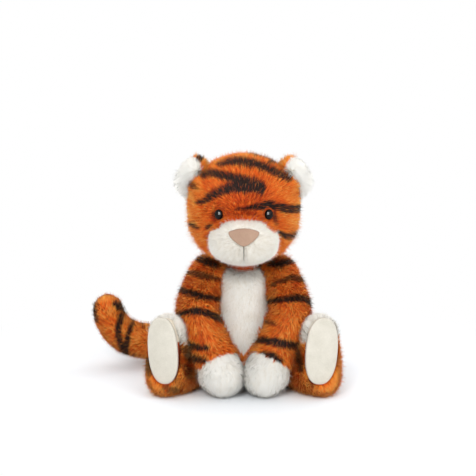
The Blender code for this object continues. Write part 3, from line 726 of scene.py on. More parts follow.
def eyePlace(side):
    centre, _, _, width, depth = sectionAt(headForm, np.array([eyeSizes["rise"] * mm]))
    x = side * eyeSizes["out"] * mm
    y = -depth[0] * math.sqrt(1 - (x / width[0]) ** 2)
    facing = Vector((x / width[0] ** 2, y / depth[0] ** 2, 0)).normalized()
    return Vector(centre[0]) + Vector((x, y, 0)), facing


eyePlaces = [np.array(eyePlace(side)[0]) for side, word in sides]


# Backings

# in mm: how deep and wide the eyes' dents and the valley are, and where the temples stand out
faceSizes = {
    "eyeDeep": 2.2, "eyeWide": 10, "valleyDeep": 2.2, "valleyWide": 3.2, "valleyTop": 150, "front": 50,
    "temple": 206.5, "templeUp": 4.6, "templeDown": 8.3, "templeFrom": 26, "templeOut": 8.5,
}
# how far each stands out, where and how wide, in mm
armFuller = {"out": 3.0, "at": 78, "tall": 26, "slope": 2.5, "slopeFrom": 105, "slopeTall": 18}
earLobe = {"forward": 11.0, "inward": 1.5, "out": 47, "wide": 11, "rise": 216, "tall": 8.5, "slim": 3.0}


def shapeFace(points):
    # the muzzle's two pads, with a shallow valley under the nose, and the eyes drawn in
    f = faceSizes
    for place in eyePlaces:
        gap = np.linalg.norm(points - place, axis=1)
        points = points + np.outer(np.exp(-(gap / (f["eyeWide"] * mm)) ** 2) * f["eyeDeep"] * mm, axisY)
    x, y, z = points.T
    front = np.clip((-y - f["front"] * mm) / (10 * mm), 0, 1)
    under = np.clip((f["valleyTop"] * mm - z) / (8 * mm), 0, 1)
    y = y + front * (np.exp(-(x / (f["valleyWide"] * mm)) ** 2) * under) * f["valleyDeep"] * mm
    # the pile stands fuller at the temples, under the ears
    above = z / mm - f["temple"]
    temple = np.exp(-(above / np.where(above > 0, f["templeUp"], f["templeDown"])) ** 2)
    temple = temple * np.clip((12 - y / mm) / 20, 0, 1)
    outer = np.clip((np.abs(x) / mm - f["templeFrom"]) / 12, 0, 1)
    return np.stack([x + np.sign(x) * outer * temple * f["templeOut"] * mm, y, z], 1)


def fullerArm(points, side):
    # the upper arms stand out from the body a little, and slope at the shoulder
    f, z = armFuller, points[:, 2] / mm
    out = f["out"] * np.exp(-((z - f["at"]) / f["tall"]) ** 2)
    out = out - f["slope"] * np.clip((z - f["slopeFrom"]) / f["slopeTall"], 0, 1)
    return points + np.outer(out * side * mm, axisX)


def fullerEar(points, side):
    # the lobe's front swells forward, over the head's pile
    x, y, z = (points / mm).T
    across, up = (x * side - earLobe["out"]) / earLobe["wide"], (z - earLobe["rise"]) / earLobe["tall"]
    swell = np.exp(-(across ** 2 + up ** 2))
    swell = swell * np.clip((2 - y) / 8, 0, 1)
    slim = np.clip((204 - z) / 14, 0, 1) * np.clip((x * side - 50) / 8, 0, 1) * earLobe["slim"]
    inward = (slim + swell * earLobe["inward"]) * side * mm
    return points - np.outer(swell * earLobe["forward"] * mm, axisY) - np.outer(inward, axisX)


def flatSole(points, place, facing):
    return points - np.maximum(0, (points - place) @ facing)[:, None] * facing


sink = -backing["sink"]
skins = {
    "head": skinOf("head", [(headForm, sink), (muzzleForm, -backing["muzzle"])], 6, shapeFace),
    "torso": skinOf("torso", [(torsoForm, sink)], 4),
    "tail": skinOf("tail", [(tailForm, -backing["tail"])], 3),
}
armForms, legForms, earForms = {}, {}, {}
for side, word in sides:
    armForms[side], legForms[side], earForms[side] = armFormOf(side), legFormsOf(side), earFormOf(side)
    thigh, footForm, solePlace, soleFacing, hip = legForms[side]
    skins["arm" + word] = skinOf(
        "arm" + word, [(armForms[side], -backing["arm"])], 3, lambda q: fullerArm(q, side),
    )
    skins["leg" + word] = skinOf(
        "leg" + word, [(thigh, -backing["thigh"]), (footForm, sink * backing["foot"])], 3,
        lambda q: flatSole(q, solePlace, soleFacing),
    )
    skins["ear" + word] = skinOf(
        "ear" + word, [(earForms[side], -backing["ear"])], 5, lambda q: fullerEar(q, side),
        backing["earVoxel"], creamBacking,
    )
trees = {name: surfaceTree(skin) for name, skin in skins.items()}
shown = {name: surfaceTree(skin, backing["pile"]) for name, skin in skins.items()}  # as its pile shows
print("backings made")


# Stripes of each body: places in the photograph, widths along them, and strength where it isn't full

marks = {
    "head": [
        ([(250, 154.5), (262, 156), (272, 159), (283, 163)], (3, 5, 5.5, 4), 0.9),
        (
            [(219, 165), (231, 161.5), (246, 161.5), (261, 166), (273, 171), (289, 178)],
            (3.5, 6, 6.5, 6, 6, 5), 0.95,
        ),
        (
            [(203, 174.5), (209, 173), (218, 173.7), (229, 176.6), (241, 179.4), (252, 183.3),
             (260, 187), (262, 191)], (5, 6, 6.5, 6.5, 7.5, 10, 9, 5),
        ),
        (
            [(198, 202.5), (206, 199.5), (212, 195), (222, 190), (232, 187), (241, 186), (252, 187)],
            (3, 5, 6, 7, 8, 9, 8),
        ),
        (
            [(235, 209), (248, 208), (259, 206.3), (270, 205), (280, 207), (291, 209), (304, 208.3)],
            (1.5, 3.2, 6, 7, 6.5, 6.5, 5.5),
        ),
        ([(280, 232), (284, 235), (289, 236.5), (299, 232.5)], (3, 4.5, 4, 3.5)),
        ([(205, 229.5), (212, 224)], 3.0),
        ([(190, 223), (198, 228.5)], 3.2),
        ([(188, 182), (195, 188)], 4.5, 0.8),
        # the next two are painted shade beside each eye, drawn as stripes
        ([(214.5, 210), (213, 215), (214.5, 220)], 3.2, 0.8),
        ([(274.5, 210.5), (275.5, 216), (276, 220), (276.5, 225)], (3, 3.4, 3, 2), 0.8),
    ],
    "torso": [
        ([(198, 256), (208, 262), (221, 267)], 7),
        ([(236, 268.5), (252, 269), (267, 265), (281, 262)], 6),
        ([(269, 264), (270.5, 272), (270, 281)], 5),
    ],
    "armRight": [
        ([(196, 258), (207, 261), (219, 266)], 6.5),
        ([(184, 272), (196, 273.6), (208, 276.6), (219, 279)], 5, 0.85),
        ([(179, 288.5), (187, 292), (199, 295), (209, 297.6), (221, 299)], (4.5, 5, 5, 4.5, 3.5)),
        ([(179, 314), (195, 311.3), (208, 313.4), (218, 317.4), (226, 321.5)], (4, 5.5, 6.5, 5.5, 4)),
        ([(178, 341), (192, 346), (207, 349)], (5, 5.5, 3.5)),
        ([(184, 353), (195, 359), (206, 361.5)], (5, 5.5, 3)),
    ],
    "armLeft": [
        ([(268, 265), (280, 263), (294, 261)], 6),
        ([(272, 284.8), (282, 280.7), (293, 277.7), (306, 281)], (2.5, 3.5, 4.5, 4), 0.85),
        ([(266, 302.3), (280, 300), (296, 298), (307, 300), (312, 305)], (3, 4.5, 5.5, 5, 4)),
        ([(262, 320), (275, 324.6)], 3.5, 0.8),
        ([(252, 340), (267, 341), (282, 344), (300, 345.5)], (4, 5.5, 6.5, 6)),
        ([(262, 353), (272, 355.5), (281, 361.5)], (3, 5, 4)),
    ],
    "legRight": [
        ([(183, 345), (187, 353), (190, 362)], 5, 0.7),
        ([(186, 366), (190, 377)], 7, 0.6),
        ([(163, 388), (178, 391)], 5, 0.6),
        ([(148, 359), (150, 376)], 4.5, 0.9),
    ],
    "legLeft": [
        ([(297, 350), (299, 360), (301, 371)], 5, 0.9),
        ([(311, 383), (325, 382)], 3),
        ([(335, 353), (336, 371)], 3.5, 0.9),
    ],
    "tail": [
        ([(95, 300), (93.5, 310), (96, 321)], 4),
        ([(115, 303.5), (121, 307), (127, 311)], (4, 6.5, 4)),
        ([(122, 315), (118.5, 326), (118.5, 338), (125, 353)], (3.5, 5, 5, 5)),
        ([(131.5, 325), (127.5, 338), (126, 356)], (3, 4.5, 4.5)),
    ],
    "earRight": [([(196.5, 160), (200, 157.5), (204, 155.5)], 4.5)],
    "earLeft": [([(302, 156.5), (306, 158.5)], 3.0, 0.6)],
}
stripes = {name: [drawn(shown[name], *mark) for mark in rows] for name, rows in marks.items()}

# behind: wave, share along and degrees round the form at each end, and width
for row in (
    (0.01, (0.93, -35), (0.90, 60), 5), (0.02, (0.80, 20), (0.76, 150), 6),
    (-0.02, (0.62, 45), (0.66, 170), 6), (0.015, (0.47, 5), (0.44, 75), 5.5),
    (-0.015, (0.46, 175), (0.43, 100), 5.5), (0.02, (0.28, 20), (0.24, 160), 5.5),
    (0.0, (0.12, 50), (0.14, 130), 5),
):
    stripes["head"].append(carried(headForm, *row))
stripes["torso"] += ringed(torsoForm, -0.03, 0.012, (
    (0.88, 20, 160, 6), (0.74, -10, 85, 6), (0.72, 190, 105, 6), (0.57, 15, 165, 6.5), (0.42, -5, 80, 6.5),
    (0.40, 185, 100, 6.5), (0.24, 20, 160, 6.5),
))
stripes["tail"] += ringed(tailForm, 0.02, 0.008, (
    (0.18, -120, 130, 5.5), (0.30, -140, 110, 5), (0.42, -110, 140, 5.5), (0.53, -140, 120, 5),
    (0.64, -120, 135, 5), (0.73, -135, 120, 5), (0.86, -120, 100, 5),
))
for side, word in sides:
    high, low = -90 + 85 * side, -90 - 60 * side
    stripes["arm" + word] += ringed(armForms[side], 0.03, 0.01, (
        (0.17, -150, -20, 5.5), (0.29, high, low, 5.5), (0.40, -165, -25, 6), (0.52, high, low, 5.5),
        (0.63, -150, -15, 5),
    ))
    rows = ((0.28, -80, 75, 5.5), (0.46, -85, 60, 6), (0.64, -75, 65, 5.5))
    if side < 0:
        rows = [(share, 180 - a, 180 - b, width) for share, a, b, width in rows]
    stripes["leg" + word] += ringed(legForms[side][0], 0.04, 0.01, rows)
    stripes["leg" + word] += ringed(legForms[side][1], 0, 0.01, ((0.30, 30, 150, 5), (0.48, 30, 150, 5)))
print("stripes placed")


# What is cream on each body

bellySizes = {
    "base": 37, "height": 80, "halfWidth": 24.5, "round": 14,
    "widths": (0.30, 0.48, 0.70, 0.87, 1.0, 1.0, 0.88),
}


def mixed(points, seed, size=1.0):
    # seams between two colours of pile aren't sharp: the strands there cross each other
    fine, broad = wander(points, 3.2 * mm, seed), wander(points, 9 * mm, seed + 1)
    return points + fine * size * 0.9 * mm + broad * size * 0.7 * mm


def onMuzzle(points, x):
    # places across and ahead in the muzzle's section, as shares of its half sizes
    _, _, _, width, depth = sectionAt(muzzleForm, points[:, 2] - muzzleBase, 1.0 * mm)
    return x / np.maximum(width, 1e-6), (points[:, 1] - muzzleLine) / np.maximum(depth, 1e-6)


def muzzleShare(points):
    # 0 in the middle of the muzzle's front and 1 at its seam
    x, y = onMuzzle(points, points[:, 0])
    hump = np.clip(((points[:, 2] - muzzleBase) / mm - 30 + 10 * np.abs(x) ** 2) / 15, 0, 1)
    share = np.maximum(np.hypot(x, np.maximum(y, 0)), hump)
    return np.where(points[:, 1] < muzzleLine + 18 * mm, share, 2.0)


def isMuzzle(points):
    across = mixed(points, 70)[:, 0]
    x, y = onMuzzle(points, across)
    seam = sectionAt(muzzleForm, points[:, 2] - muzzleBase + muzzleSizes["lower"] * mm, 0.1 * mm)[3]
    inside = (x ** 2 + y ** 2 < 1) & (np.abs(across) < seam + 0.5 * mm)
    inside |= (np.abs(points[:, 0]) < 20 * mm) & (points[:, 2] < 167 * mm) & (points[:, 1] < -56 * mm)
    return inside & (points[:, 1] < muzzleLine + 18 * mm)


def isBelly(points):
    b = bellySizes
    points = mixed(points, 72)
    along = points[:, 2] / mm - b["base"]
    ends = np.minimum(along, b["height"] - along)
    rounding = np.sqrt(np.maximum(0, 1 - np.clip(1 - ends / b["round"], 0, 1) ** 2))
    half = through(b["widths"], np.clip(along / b["height"], 0, 1)) * b["halfWidth"] * rounding
    return (np.abs(points[:, 0]) / mm < half) & (points[:, 1] < -5 * mm) & (ends > 0)


def isPaw(points, side):
    a = armSizes
    turn = math.radians(a["pawTurn"])
    place = (side * (a["pawRadius"] + a["pawGap"] / 2), -a["pawForward"], a["pawLine"] + a["overlap"])
    normal = unit(np.array((-side * math.sin(turn), -math.sin(turn), -math.cos(turn))))
    return (mixed(points, 74) - np.array(place) * mm) @ normal > 0


def isToe(points, side):
    _, _, place, facing, _ = legForms[side]
    points = mixed(points, 76, 1.8)
    inward = -(points - place) @ np.array((side * 1.0, 0, 0))
    behind = -(points - place) @ facing
    line = legSizes["toeLine"] * mm - np.clip(inward, 0, 8 * mm) * 0.6
    return points[:, 2] > line + np.maximum(0, behind - 15 * mm) * 0.8


def dyeBacking(obj, lines, isCream):
    # the backing's own stripes, and cream cloth where the pile is cream
    points, normals, _ = meshArrays(obj)
    layer = obj.data.attributes.new("stripe", "FLOAT", "POINT")
    layer.data.foreach_set("value", stripeAt(points + normals * backing["pile"], lines).astype(np.float32))
    if isCream:
        centres = np.array([face.center for face in obj.data.polygons])
        obj.data.materials.append(creamBacking)
        obj.data.polygons.foreach_set("material_index", isCream(centres).astype(np.int32))


def given(function, last):
    # the function with its last value filled in
    return lambda *values: function(*values, last)


creamOn = {"head": isMuzzle, "torso": isBelly}
for side, word in sides:
    creamOn["arm" + word], creamOn["leg" + word] = given(isPaw, side), given(isToe, side)
for name, skin in skins.items():
    dyeBacking(skin, [] if name.startswith("ear") else stripes[name], creamOn.get(name))


# Eyes, nose, mouth and soles

def fitted(obj, bodyName, nodeName):
    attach(obj, bodyName)
    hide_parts(nodeName)
    return obj


def makeEye(side, word):
    place, facing = eyePlace(side)
    bm = bmesh.new()
    bmesh.ops.create_uvsphere(bm, u_segments=48, v_segments=32, radius=eyeSizes["radius"] * mm)
    flat = Matrix.Diagonal((1, eyeSizes["tall"], eyeSizes["bulge"] / eyeSizes["radius"], 1))
    turn = facing.to_track_quat("Z", "Y").to_matrix().to_4x4()
    stand = Matrix.Translation(place + facing * eyeSizes["stand"] * mm)
    bmesh.ops.transform(bm, matrix=stand @ turn @ flat, verts=bm.verts)
    mesh = bpy.data.meshes.new("eye" + word)
    bm.to_mesh(mesh)
    bm.free()
    mesh.shade_smooth()
    mesh.materials.append(eyePlastic)
    return fitted(linked("eye" + word, mesh), "head", "eye_" + word.lower())


eyes = [makeEye(side, word) for side, word in sides]


def pad(name, rings, material):
    # a closed pad through rings of points, from its back to the middle of its front
    count = len(rings[0])
    faces = ringFaces(len(rings), count)
    faces.append(tuple(range((len(rings) - 1) * count, len(rings) * count)))
    faces.append(tuple(reversed(range(count))))
    made = newObject(name, np.concatenate(rings), faces, material)
    faceOutward(made)
    made.data.shade_smooth()
    return made


# shares of the nose's half width and height, each with the way the outline runs through it
noseCorners = (
    ((0.0, 0.0), (0.26, 0.0)), ((0.95, 0.64), (0.06, 0.16)), ((0.91, 0.81), (-0.07, 0.05)),
    ((0.0, 1.02), (-0.40, 0.0)), ((-0.91, 0.81), (-0.07, -0.05)), ((-0.95, 0.64), (0.06, -0.16)),
)
noseSizes = {
    "tipRise": 23.0, "height": 15.5, "halfWidth": 14.9, "stand": 0.5, "middle": 0.58, "crown": 0.35,
    "edge": ((1.0, -3.5), (1.0, -0.9), (0.985, -0.35), (0.95, -0.05)), "rings": np.linspace(0.88, 0.08, 9),
}
noseBase = (muzzleSizes["base"] + noseSizes["tipRise"]) * mm


def noseOutline():
    # a rounded triangle, point down
    outline = []
    for (a, ha), (b, hb) in zip(noseCorners, noseCorners[1:] + noseCorners[:1]):
        a, ha, b, hb = (np.array(q) for q in (a, ha, b, hb))
        for s in np.linspace(0, 1, 12, endpoint=False):
            ahead, behind = 3 * (a + ha) * s * (1 - s) ** 2, 3 * (b - hb) * s ** 2 * (1 - s)
            outline.append(a * (1 - s) ** 3 + ahead + behind + b * s ** 3)
    return np.array(outline) * (noseSizes["halfWidth"], noseSizes["height"]) * mm


def muzzleFront(x, height):
    # how far forward the muzzle's cloth stands at a place across it
    _, _, _, width, depth = sectionAt(muzzleForm, height - muzzleBase)
    return muzzleLine - depth * np.sqrt(np.clip(1 - (x / width) ** 2, 0, 1))


def makeNose():
    n = noseSizes
    outline = noseOutline()
    middle = np.array((0, n["height"] * n["middle"])) * mm
    rings = []
    for share, lift in n["edge"] + tuple((s, n["crown"] * (1 - s ** 2)) for s in n["rings"]):
        ring = middle + (outline - middle) * share
        x, z = ring[:, 0], ring[:, 1] + noseBase
        rings.append(np.stack([x, muzzleFront(x, z) - (n["stand"] + lift) * mm, z], 1))
    fitted(pad("nose", rings, noseSuede), "head", "nose_patch")


mouthSizes = {"length": 14, "radius": 0.45, "points": 14, "stand": 0.3, "drop": 0.3, "taper": 0.6}


def makeMouth():
    m = mouthSizes
    curve = bpy.data.curves.new("mouth", "CURVE")
    curve.dimensions = "3D"
    curve.bevel_depth = m["radius"] * mm
    curve.bevel_resolution = 3
    curve.use_fill_caps = True
    spline = curve.splines.new("POLY")
    spline.points.add(m["points"] - 1)
    for i, point in enumerate(spline.points):
        share = i / (m["points"] - 1)
        height = noseBase + (m["drop"] - m["length"] * share) * mm
        y = muzzleFront(np.array([0.0]), np.array([height]))[0] - m["stand"] * mm
        point.co = (0.0, y, height, 1)
        point.radius = 1.0 - m["taper"] * share
    curve.materials.append(mouthThread)
    fitted(linked("mouth", curve), "head", "mouth_stitch")


makeNose()
makeMouth()
print("face made")

# the half width and the shift across differ between the sides, as in the photograph
soleSizes = {
    "halfWidth": {1: 16.8, -1: 15.6}, "shift": {1: -3.0, -1: 0.0}, "low": 13.9, "high": 78.8, "power": 2.4,
    "stand": 0.7, "crown": 1.5, "lean": 6, "edge": ((1.0, -3.0), (1.0, -0.9), (0.99, -0.4), (0.97, -0.1)),
    "rings": np.linspace(0.94, 0.06, 12),
}
soleHalfHeight = (soleSizes["high"] - soleSizes["low"]) / 2 * mm


def makeSole(side, word):
    s = soleSizes
    _, _, place, facing, _ = legForms[side]
    across = unit(np.cross(facing, axisZ)) * -1
    up = unit(np.cross(across, facing)) * (1 if np.cross(across, facing)[2] > 0 else -1)
    rise = (s["low"] + s["high"]) / 2 * mm - place[2]
    centre = place + up * rise / up[2] + across * s["shift"][side] * mm
    angles = np.linspace(0, 2 * math.pi, 72, endpoint=False)
    c, d = np.cos(angles), np.sin(angles)
    x = np.sign(c) * np.abs(c) ** (2 / s["power"]) * s["halfWidth"][side] * mm
    y = np.sign(d) * np.abs(d) ** (2 / s["power"]) * soleHalfHeight
    lean = math.radians(s["lean"]) * side
    x, y = x * math.cos(lean) + y * math.sin(lean), y * math.cos(lean) - x * math.sin(lean)
    rings = []
    for share, lift in s["edge"] + tuple((q, s["crown"] * (1 - q ** 2)) for q in s["rings"]):
        flat = np.outer(x * share, across) + np.outer(y * share, up)
        rings.append(centre + flat + facing * (s["stand"] + lift) * mm)
    low = word.lower()
    fitted(pad("sole" + word, rings, soleSuede), "leg_" + low, "sole_" + low)
    return centre, across, up


soleFrames = {side: makeSole(side, word) for side, word in sides}
print("soles made")


# Pile of each body

longPile = {
    "length": 7.8, "width": 0.46 * mm, "lean": 33, "uneven": 0.25, "flow": 0.08, "stray": 0.14,
    "tuft": 0.09, "perTuft": 7, "smooth": 0.80, "guard": 0.18, "through": 0,
}
bodyHair = dict(longPile, length=8.2, lean=42, stray=0.10, flow=0.06, tuft=0.05, smooth=0.84, guard=0.16)
earHair = dict(longPile, length=7.5)
creamHair = dict(longPile, flow=0.03, tuft=0.02, smooth=0.95)
muzzleHair = dict(creamHair, length=5.0, width=0.36 * mm, lean=48, stray=0.07, guard=0.08)
creamLong = dict(creamHair, length=7.2, width=0.38 * mm, lean=54, stray=0.06, guard=0.04)
toeHair = dict(creamLong, lean=42, stray=0.13, guard=0.12)
liningHair = dict(creamLong, lean=38, stray=0.12, guard=0, through=0.5)
density = {"head": 2.3, "long": 2.6, "limb": 3.0, "cream": 6.0}
growing = {"lie": 3.0, "deepest": 2.5}  # mm along the nap to what shows, and into a neighbour


def pileOn(part, name, dye, perSquareMm, seed, nap, hair, avoid, trim, tint):
    # a strand belongs to the piece that its visible part lies over
    roots, facing = scatter(skins[part], perSquareMm, seed)
    if part in creamOn:
        lie = nap(roots)
        lie = unit(lie - facing * dot(lie, facing)) * growing["lie"] * mm
        keep = creamOn[part](roots + lie) == (dye is cream)
        roots, facing = roots[keep], facing[keep]
    for other in avoid:  # strands whose roots lie deep in a neighbour are left out
        keep = depthInside(roots, trees[other]) < growing["deepest"] * mm
        roots, facing = roots[keep], facing[keep]
    length = np.full(len(roots), hair["length"] * mm)
    if trim:
        length, keep = trim(roots, length)
        roots, facing, length = roots[keep], facing[keep], length[keep]
    slotName, material = dye
    lines = stripes[part] if dye is orange else ()
    made = growPile(name, roots, facing, nap(roots), length, lines, hair, material, seed, tint)
    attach(made, ridesOn[part])


def headNap(points):
    # swept back from the nose, and a little down at the cheeks
    away = points - np.array((0, -66, 158)) * mm
    return unit(away) + axisZ * -0.1


def aroundNose(points):
    # how far outside the nose's outline a place on the muzzle lies
    outline = noseOutline()
    flat = np.stack([points[:, 0], points[:, 2] - noseBase], 1)
    gap = np.full(len(points), 1e3)
    inside = np.zeros(len(points), bool)
    for a, b in zip(outline, np.roll(outline, -1, axis=0)):
        along = b - a
        s = np.clip(((flat - a) @ along) / (along @ along), 0, 1)
        gap = np.minimum(gap, np.linalg.norm(flat - a - s[:, None] * along, axis=1))
        crosses = (a[1] > flat[:, 1]) != (b[1] > flat[:, 1])
        where = a[0] + (flat[:, 1] - a[1]) * along[0] / (along[1] if abs(along[1]) > 1e-9 else 1e-9)
        inside ^= crosses & (flat[:, 0] < where)
    return np.where(inside, -gap, gap)


# hair lengths are shares of the full one, and gaps are in mm
faceTrim = {"bare": 5.6, "from": 2, "over": 11, "shortest": 0.3, "cheekLonger": 0.55, "ear": 0.35}
muzzleTrim = {"bare": 1.0, "over": 7, "shortest": 0.45, "seamLonger": 0.55, "mouth": 0.3, "mouthOver": 5}
# how much deeper between the eyes, how much painted shade round each eye and how wide, and how much painted
# light pales the head's sides
headTint = {"deep": 0.22, "eyes": 1.5, "eyesWide": 8.5, "paintedSideLight": 0.20}


def trimFace(points, length):
    # shorter pile round the eyes and ears, longer on the cheeks, and none under the eyes
    f = faceTrim
    keep = np.ones(len(points), bool)
    for place in eyePlaces:
        gap = np.linalg.norm(points - place, axis=1)
        length = length * np.clip((gap - f["from"] * mm) / (f["over"] * mm), f["shortest"], 1)
        keep &= gap > f["bare"] * mm
    x, y, z = (points / mm).T
    cheek = np.clip((np.abs(x) - 28) / 14, 0, 1) * np.exp(-((z - 152) / 16) ** 2)
    ear = np.clip((np.hypot(np.hypot(np.abs(x) - 53, z - 216), y + 14) - 8) / 7, f["ear"], 1)
    return length * (1 + f["cheekLonger"] * cheek) * ear, keep


def trimMuzzle(points, length):
    # short beside the nose and the mouth, long at the seam, and none under the nose
    m = muzzleTrim
    front = points[:, 1] < -55 * mm
    gap = np.where(front, aroundNose(points), 1.0)
    length = length * np.clip(m["shortest"] + gap / (m["over"] * mm), m["shortest"], 1)
    length = length * (1 + m["seamLonger"] * np.clip((muzzleShare(points) - 0.80) / 0.2, 0, 1))
    mouth = front & (points[:, 2] < 150 * mm) & (points[:, 2] > 135 * mm)
    short = length * np.clip(m["mouth"] + np.abs(points[:, 0]) / (m["mouthOver"] * mm), m["mouth"], 1)
    return np.where(mouth, short, length), gap > -m["bare"] * mm


def tintHead(points):
    # deeper orange between the eyes and beside the muzzle, with painted shade round each eye, and paler on
    # the crown's sides and the cheeks as painted light
    h = headTint
    x, y, z = (points / mm).T
    deep = np.exp(-((x / 26) ** 2 + ((z - 183) / 15) ** 2)) * (y < -20)
    for place in eyePlaces:
        near = np.exp(-(np.linalg.norm(points - place, axis=1) / (h["eyesWide"] * mm)) ** 2)
        deep = np.maximum(deep, h["eyes"] * near)
    paintedSideLight = np.clip((np.abs(x) - 24) / 26, 0, 1) * np.clip((z - 135) / 30, 0, 1)
    return h["paintedSideLight"] * paintedSideLight - h["deep"] * deep


def downNap(points):
    return np.broadcast_to(-axisZ, points.shape) + unit(points * (1, 1, 0)) * 0.25


def alongNap(points, form):
    samples = through(form["spine"], np.linspace(0, 1, 60))
    nearest = np.argmin(np.linalg.norm(points[:, None] - samples[None], axis=2), axis=1)
    return unit(np.gradient(samples, axis=0))[nearest]


def legNap(points, side):
    _, _, place, facing, hip = legForms[side]
    out = unit((place - hip) * (1, 1, 0))
    up = np.clip((points[:, 2:3] - 30 * mm) / (20 * mm), 0, 1)
    back = np.clip((points[:, 2:3] - 62 * mm) / (12 * mm), 0, 1)
    lie = out * (1 - up) + axisZ * up * (1 - 0.8 * back) - facing * back
    front = np.clip(2.2 - np.abs((points - place) @ facing) / mm, 0, 1)[:, None]
    return lie * (1 - front) + unit(points - soleFrames[side][0]) * front * 1.5


def offSole(points, length, side):
    # bare under the sole, with a short fringe round its edge
    centre, across, up = soleFrames[side]
    _, _, place, facing, _ = legForms[side]
    behind = (place - points) @ facing
    lean = math.radians(soleSizes["lean"]) * side
    x, y = (points - centre) @ across, (points - centre) @ up
    x, y = np.abs(x * math.cos(lean) - y * math.sin(lean)), np.abs(y * math.cos(lean) + x * math.sin(lean))
    x, y = x / (soleSizes["halfWidth"][side] * mm), y / soleHalfHeight
    ring = (x ** soleSizes["power"] + y ** soleSizes["power"]) ** (1 / soleSizes["power"])
    top = np.clip((points[:, 2] - 66 * mm) / (12 * mm), 0, 1)
    length = np.where(np.abs(behind) < 1.2 * mm, length * 0.7, length * (1 - 0.35 * top))
    return length, ~((behind < 7 * mm) & (ring < 1.0))


def inEar(points, side):
    # outward, forward and upward places in the ear, from the middle of its lobe
    form = earForms[side]
    centre, across, front, _, _ = sectionAt(form, np.array([form["total"] - earSizes["half"][0] * mm]))
    forward = front[0] if front[0][1] < 0 else -front[0]
    up = unit(np.cross(across[0], forward))
    up = up if up[2] > 0 else -up
    place = points - centre[0]
    return place @ across[0] * side / mm, place @ forward / mm, place @ up / mm


def isLining(points, side):
    # the cream front: an orange rim shows over it and on its inner side
    outward, ahead, up = inEar(points, side)
    top = 6.5 + 8.5 * np.clip((outward - 2) / 6, 0, 1)
    lobe = np.hypot(np.minimum(outward - 3, 0) / 12.5, np.maximum(up + 1, 0) / top) < 1
    return (ahead > np.maximum(-3.2, -0.8 - 1.6 * np.maximum(outward - 1, 0))) & lobe


def liningNap(points, side):
    # fanned from the lobe, falling outward below
    fall = np.clip(0.5 - inEar(points, side)[2] / 12, 0, 1)[:, None]
    return np.array((side * 0.75, 0, -0.7)) * fall + np.array((side * 0.35, 0, 0.35)) * (1 - fall)


def trimLining(points, length, side):
    # the longest hair hangs from the lower outer edge
    outward, ahead, up = inEar(points, side)
    hang = np.clip((outward + 2) / 10, 0, 1) * np.clip((6 - up) / 12, 0, 1)
    lobe = np.exp(-((outward + 2) ** 2 + (up - 1) ** 2) / 64)
    sparse = np.random.default_rng(7).random(len(points)) < 1 - 0.5 * hang
    return length * (0.75 + 0.75 * hang + 0.3 * lobe), sparse


def rimNap(points, side):
    return np.array((-side * 0.15, 0.45, 1.0)) + np.zeros_like(points)


ridesOn = {"head": "head", "torso": "torso", "tail": "tail"}
arms, legs = ["armLeft", "armRight"], ["legLeft", "legRight"]
# backing, piece, dye, strands per square mm, seed, nap, hair, neighbours to keep out of, trim and tint
piles = [
    (
        "head", "headPile", orange, density["head"], 11, headNap, longPile,
        ["torso"] + arms, trimFace, tintHead,
    ),
    ("head", "muzzlePile", cream, density["cream"], 12, headNap, muzzleHair, ["torso"], trimMuzzle, -0.12),
    (
        "torso", "bodyPile", orange, density["long"], 21, downNap, bodyHair,
        ["head"] + arms + legs + ["tail"], None, 0.1,
    ),
    ("torso", "bellyPile", cream, density["cream"], 22, downNap, creamLong, ["head"] + arms, None, 0.12),
    # the tail's tone is raised 0.24 as painted light, for the shade it sits in behind the body
    (
        "tail", "tailPile", orange, density["limb"], 31, given(alongNap, tailForm), bodyHair,
        ["torso"], None, 0.24,
    ),
]
for side, word in sides:
    arm, leg, ear = "arm" + word, "leg" + word, "ear" + word
    ridesOn.update({arm: "arm_" + word.lower(), leg: "leg_" + word.lower(), ear: "head"})
    creamOn[ear] = given(isLining, side)
    armNap, hipNap, bare = given(alongNap, armForms[side]), given(legNap, side), given(offSole, side)
    fanned, upward, hang = given(liningNap, side), given(rimNap, side), given(trimLining, side)
    many, limb, ears = density["cream"], density["limb"], density["long"]
    # the paws', legs' and ear linings' tones are raised as painted light, for the shade their pile lies in
    piles += [
        (arm, arm + "Pile", orange, limb, 40 + side, armNap, bodyHair, ["torso", "head"], None, 0.12),
        (arm, "paw" + word + "Pile", cream, many, 44 + side, armNap, creamLong, [], None, 0.3),
        (leg, leg + "Pile", orange, limb, 50 + side, hipNap, bodyHair, ["torso"], bare, 0.36),
        (leg, "toe" + word + "Pile", cream, many, 54 + side, hipNap, toeHair, [], bare, 0),
        (ear, "earLining" + word + "Pile", cream, many, 60 + side, fanned, liningHair, ["head"], hang, 0.5),
        (ear, "earBack" + word + "Pile", orange, ears, 64 + side, upward, earHair, ["head"], None, 0.34),
    ]
for row in piles:
    pileOn(*row)
print("pile grown")


# What each backing rides on and stands for

def dress(part, nodes):
    skin = skins[part]
    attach(skin, ridesOn[part])
    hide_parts(*nodes)


dress("head", ["head_shell", "head_filling", "muzzle_panel"])
dress("torso", ["torso_shell", "belly_panel", "torso_filling", "bean_bag"])
dress("tail", ["tail_sleeve", "tail_filling"])
for side, word in sides:
    low = word.lower()
    dress("arm" + word, [piece + low for piece in ("arm_sleeve_", "paw_", "arm_filling_")])
    legNodes = ("leg_sleeve_", "foot_sleeve_", "toe_cap_", "leg_filling_")
    dress("leg" + word, [piece + low for piece in legNodes])
    dress("ear" + word, ["ear_back_" + low, "ear_lining_" + low])
for name in ("neck_filling", "eye_washer_left", "eye_washer_right"):
    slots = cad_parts[name].data.materials
    if len(slots):
        slots[0] = orangeBacking
    else:
        slots.append(orangeBacking)


# Floor, light and background

floorSizes = {
    "half": 6.0, "low": paint(236, 239, 242), "high": paint(239, 242, 245), "near": 0.12, "far": 0.34,
}
floorMaterial, tree, floorShader = newMaterial("floorPaint", 0.9, specular=0.0)
floorColour = ramp(tree, noise(tree, 3.0, 2.0), (0.3, floorSizes["low"]), (0.7, floorSizes["high"]))
tree.links.new(floorColour, floorShader.inputs["Base Color"])
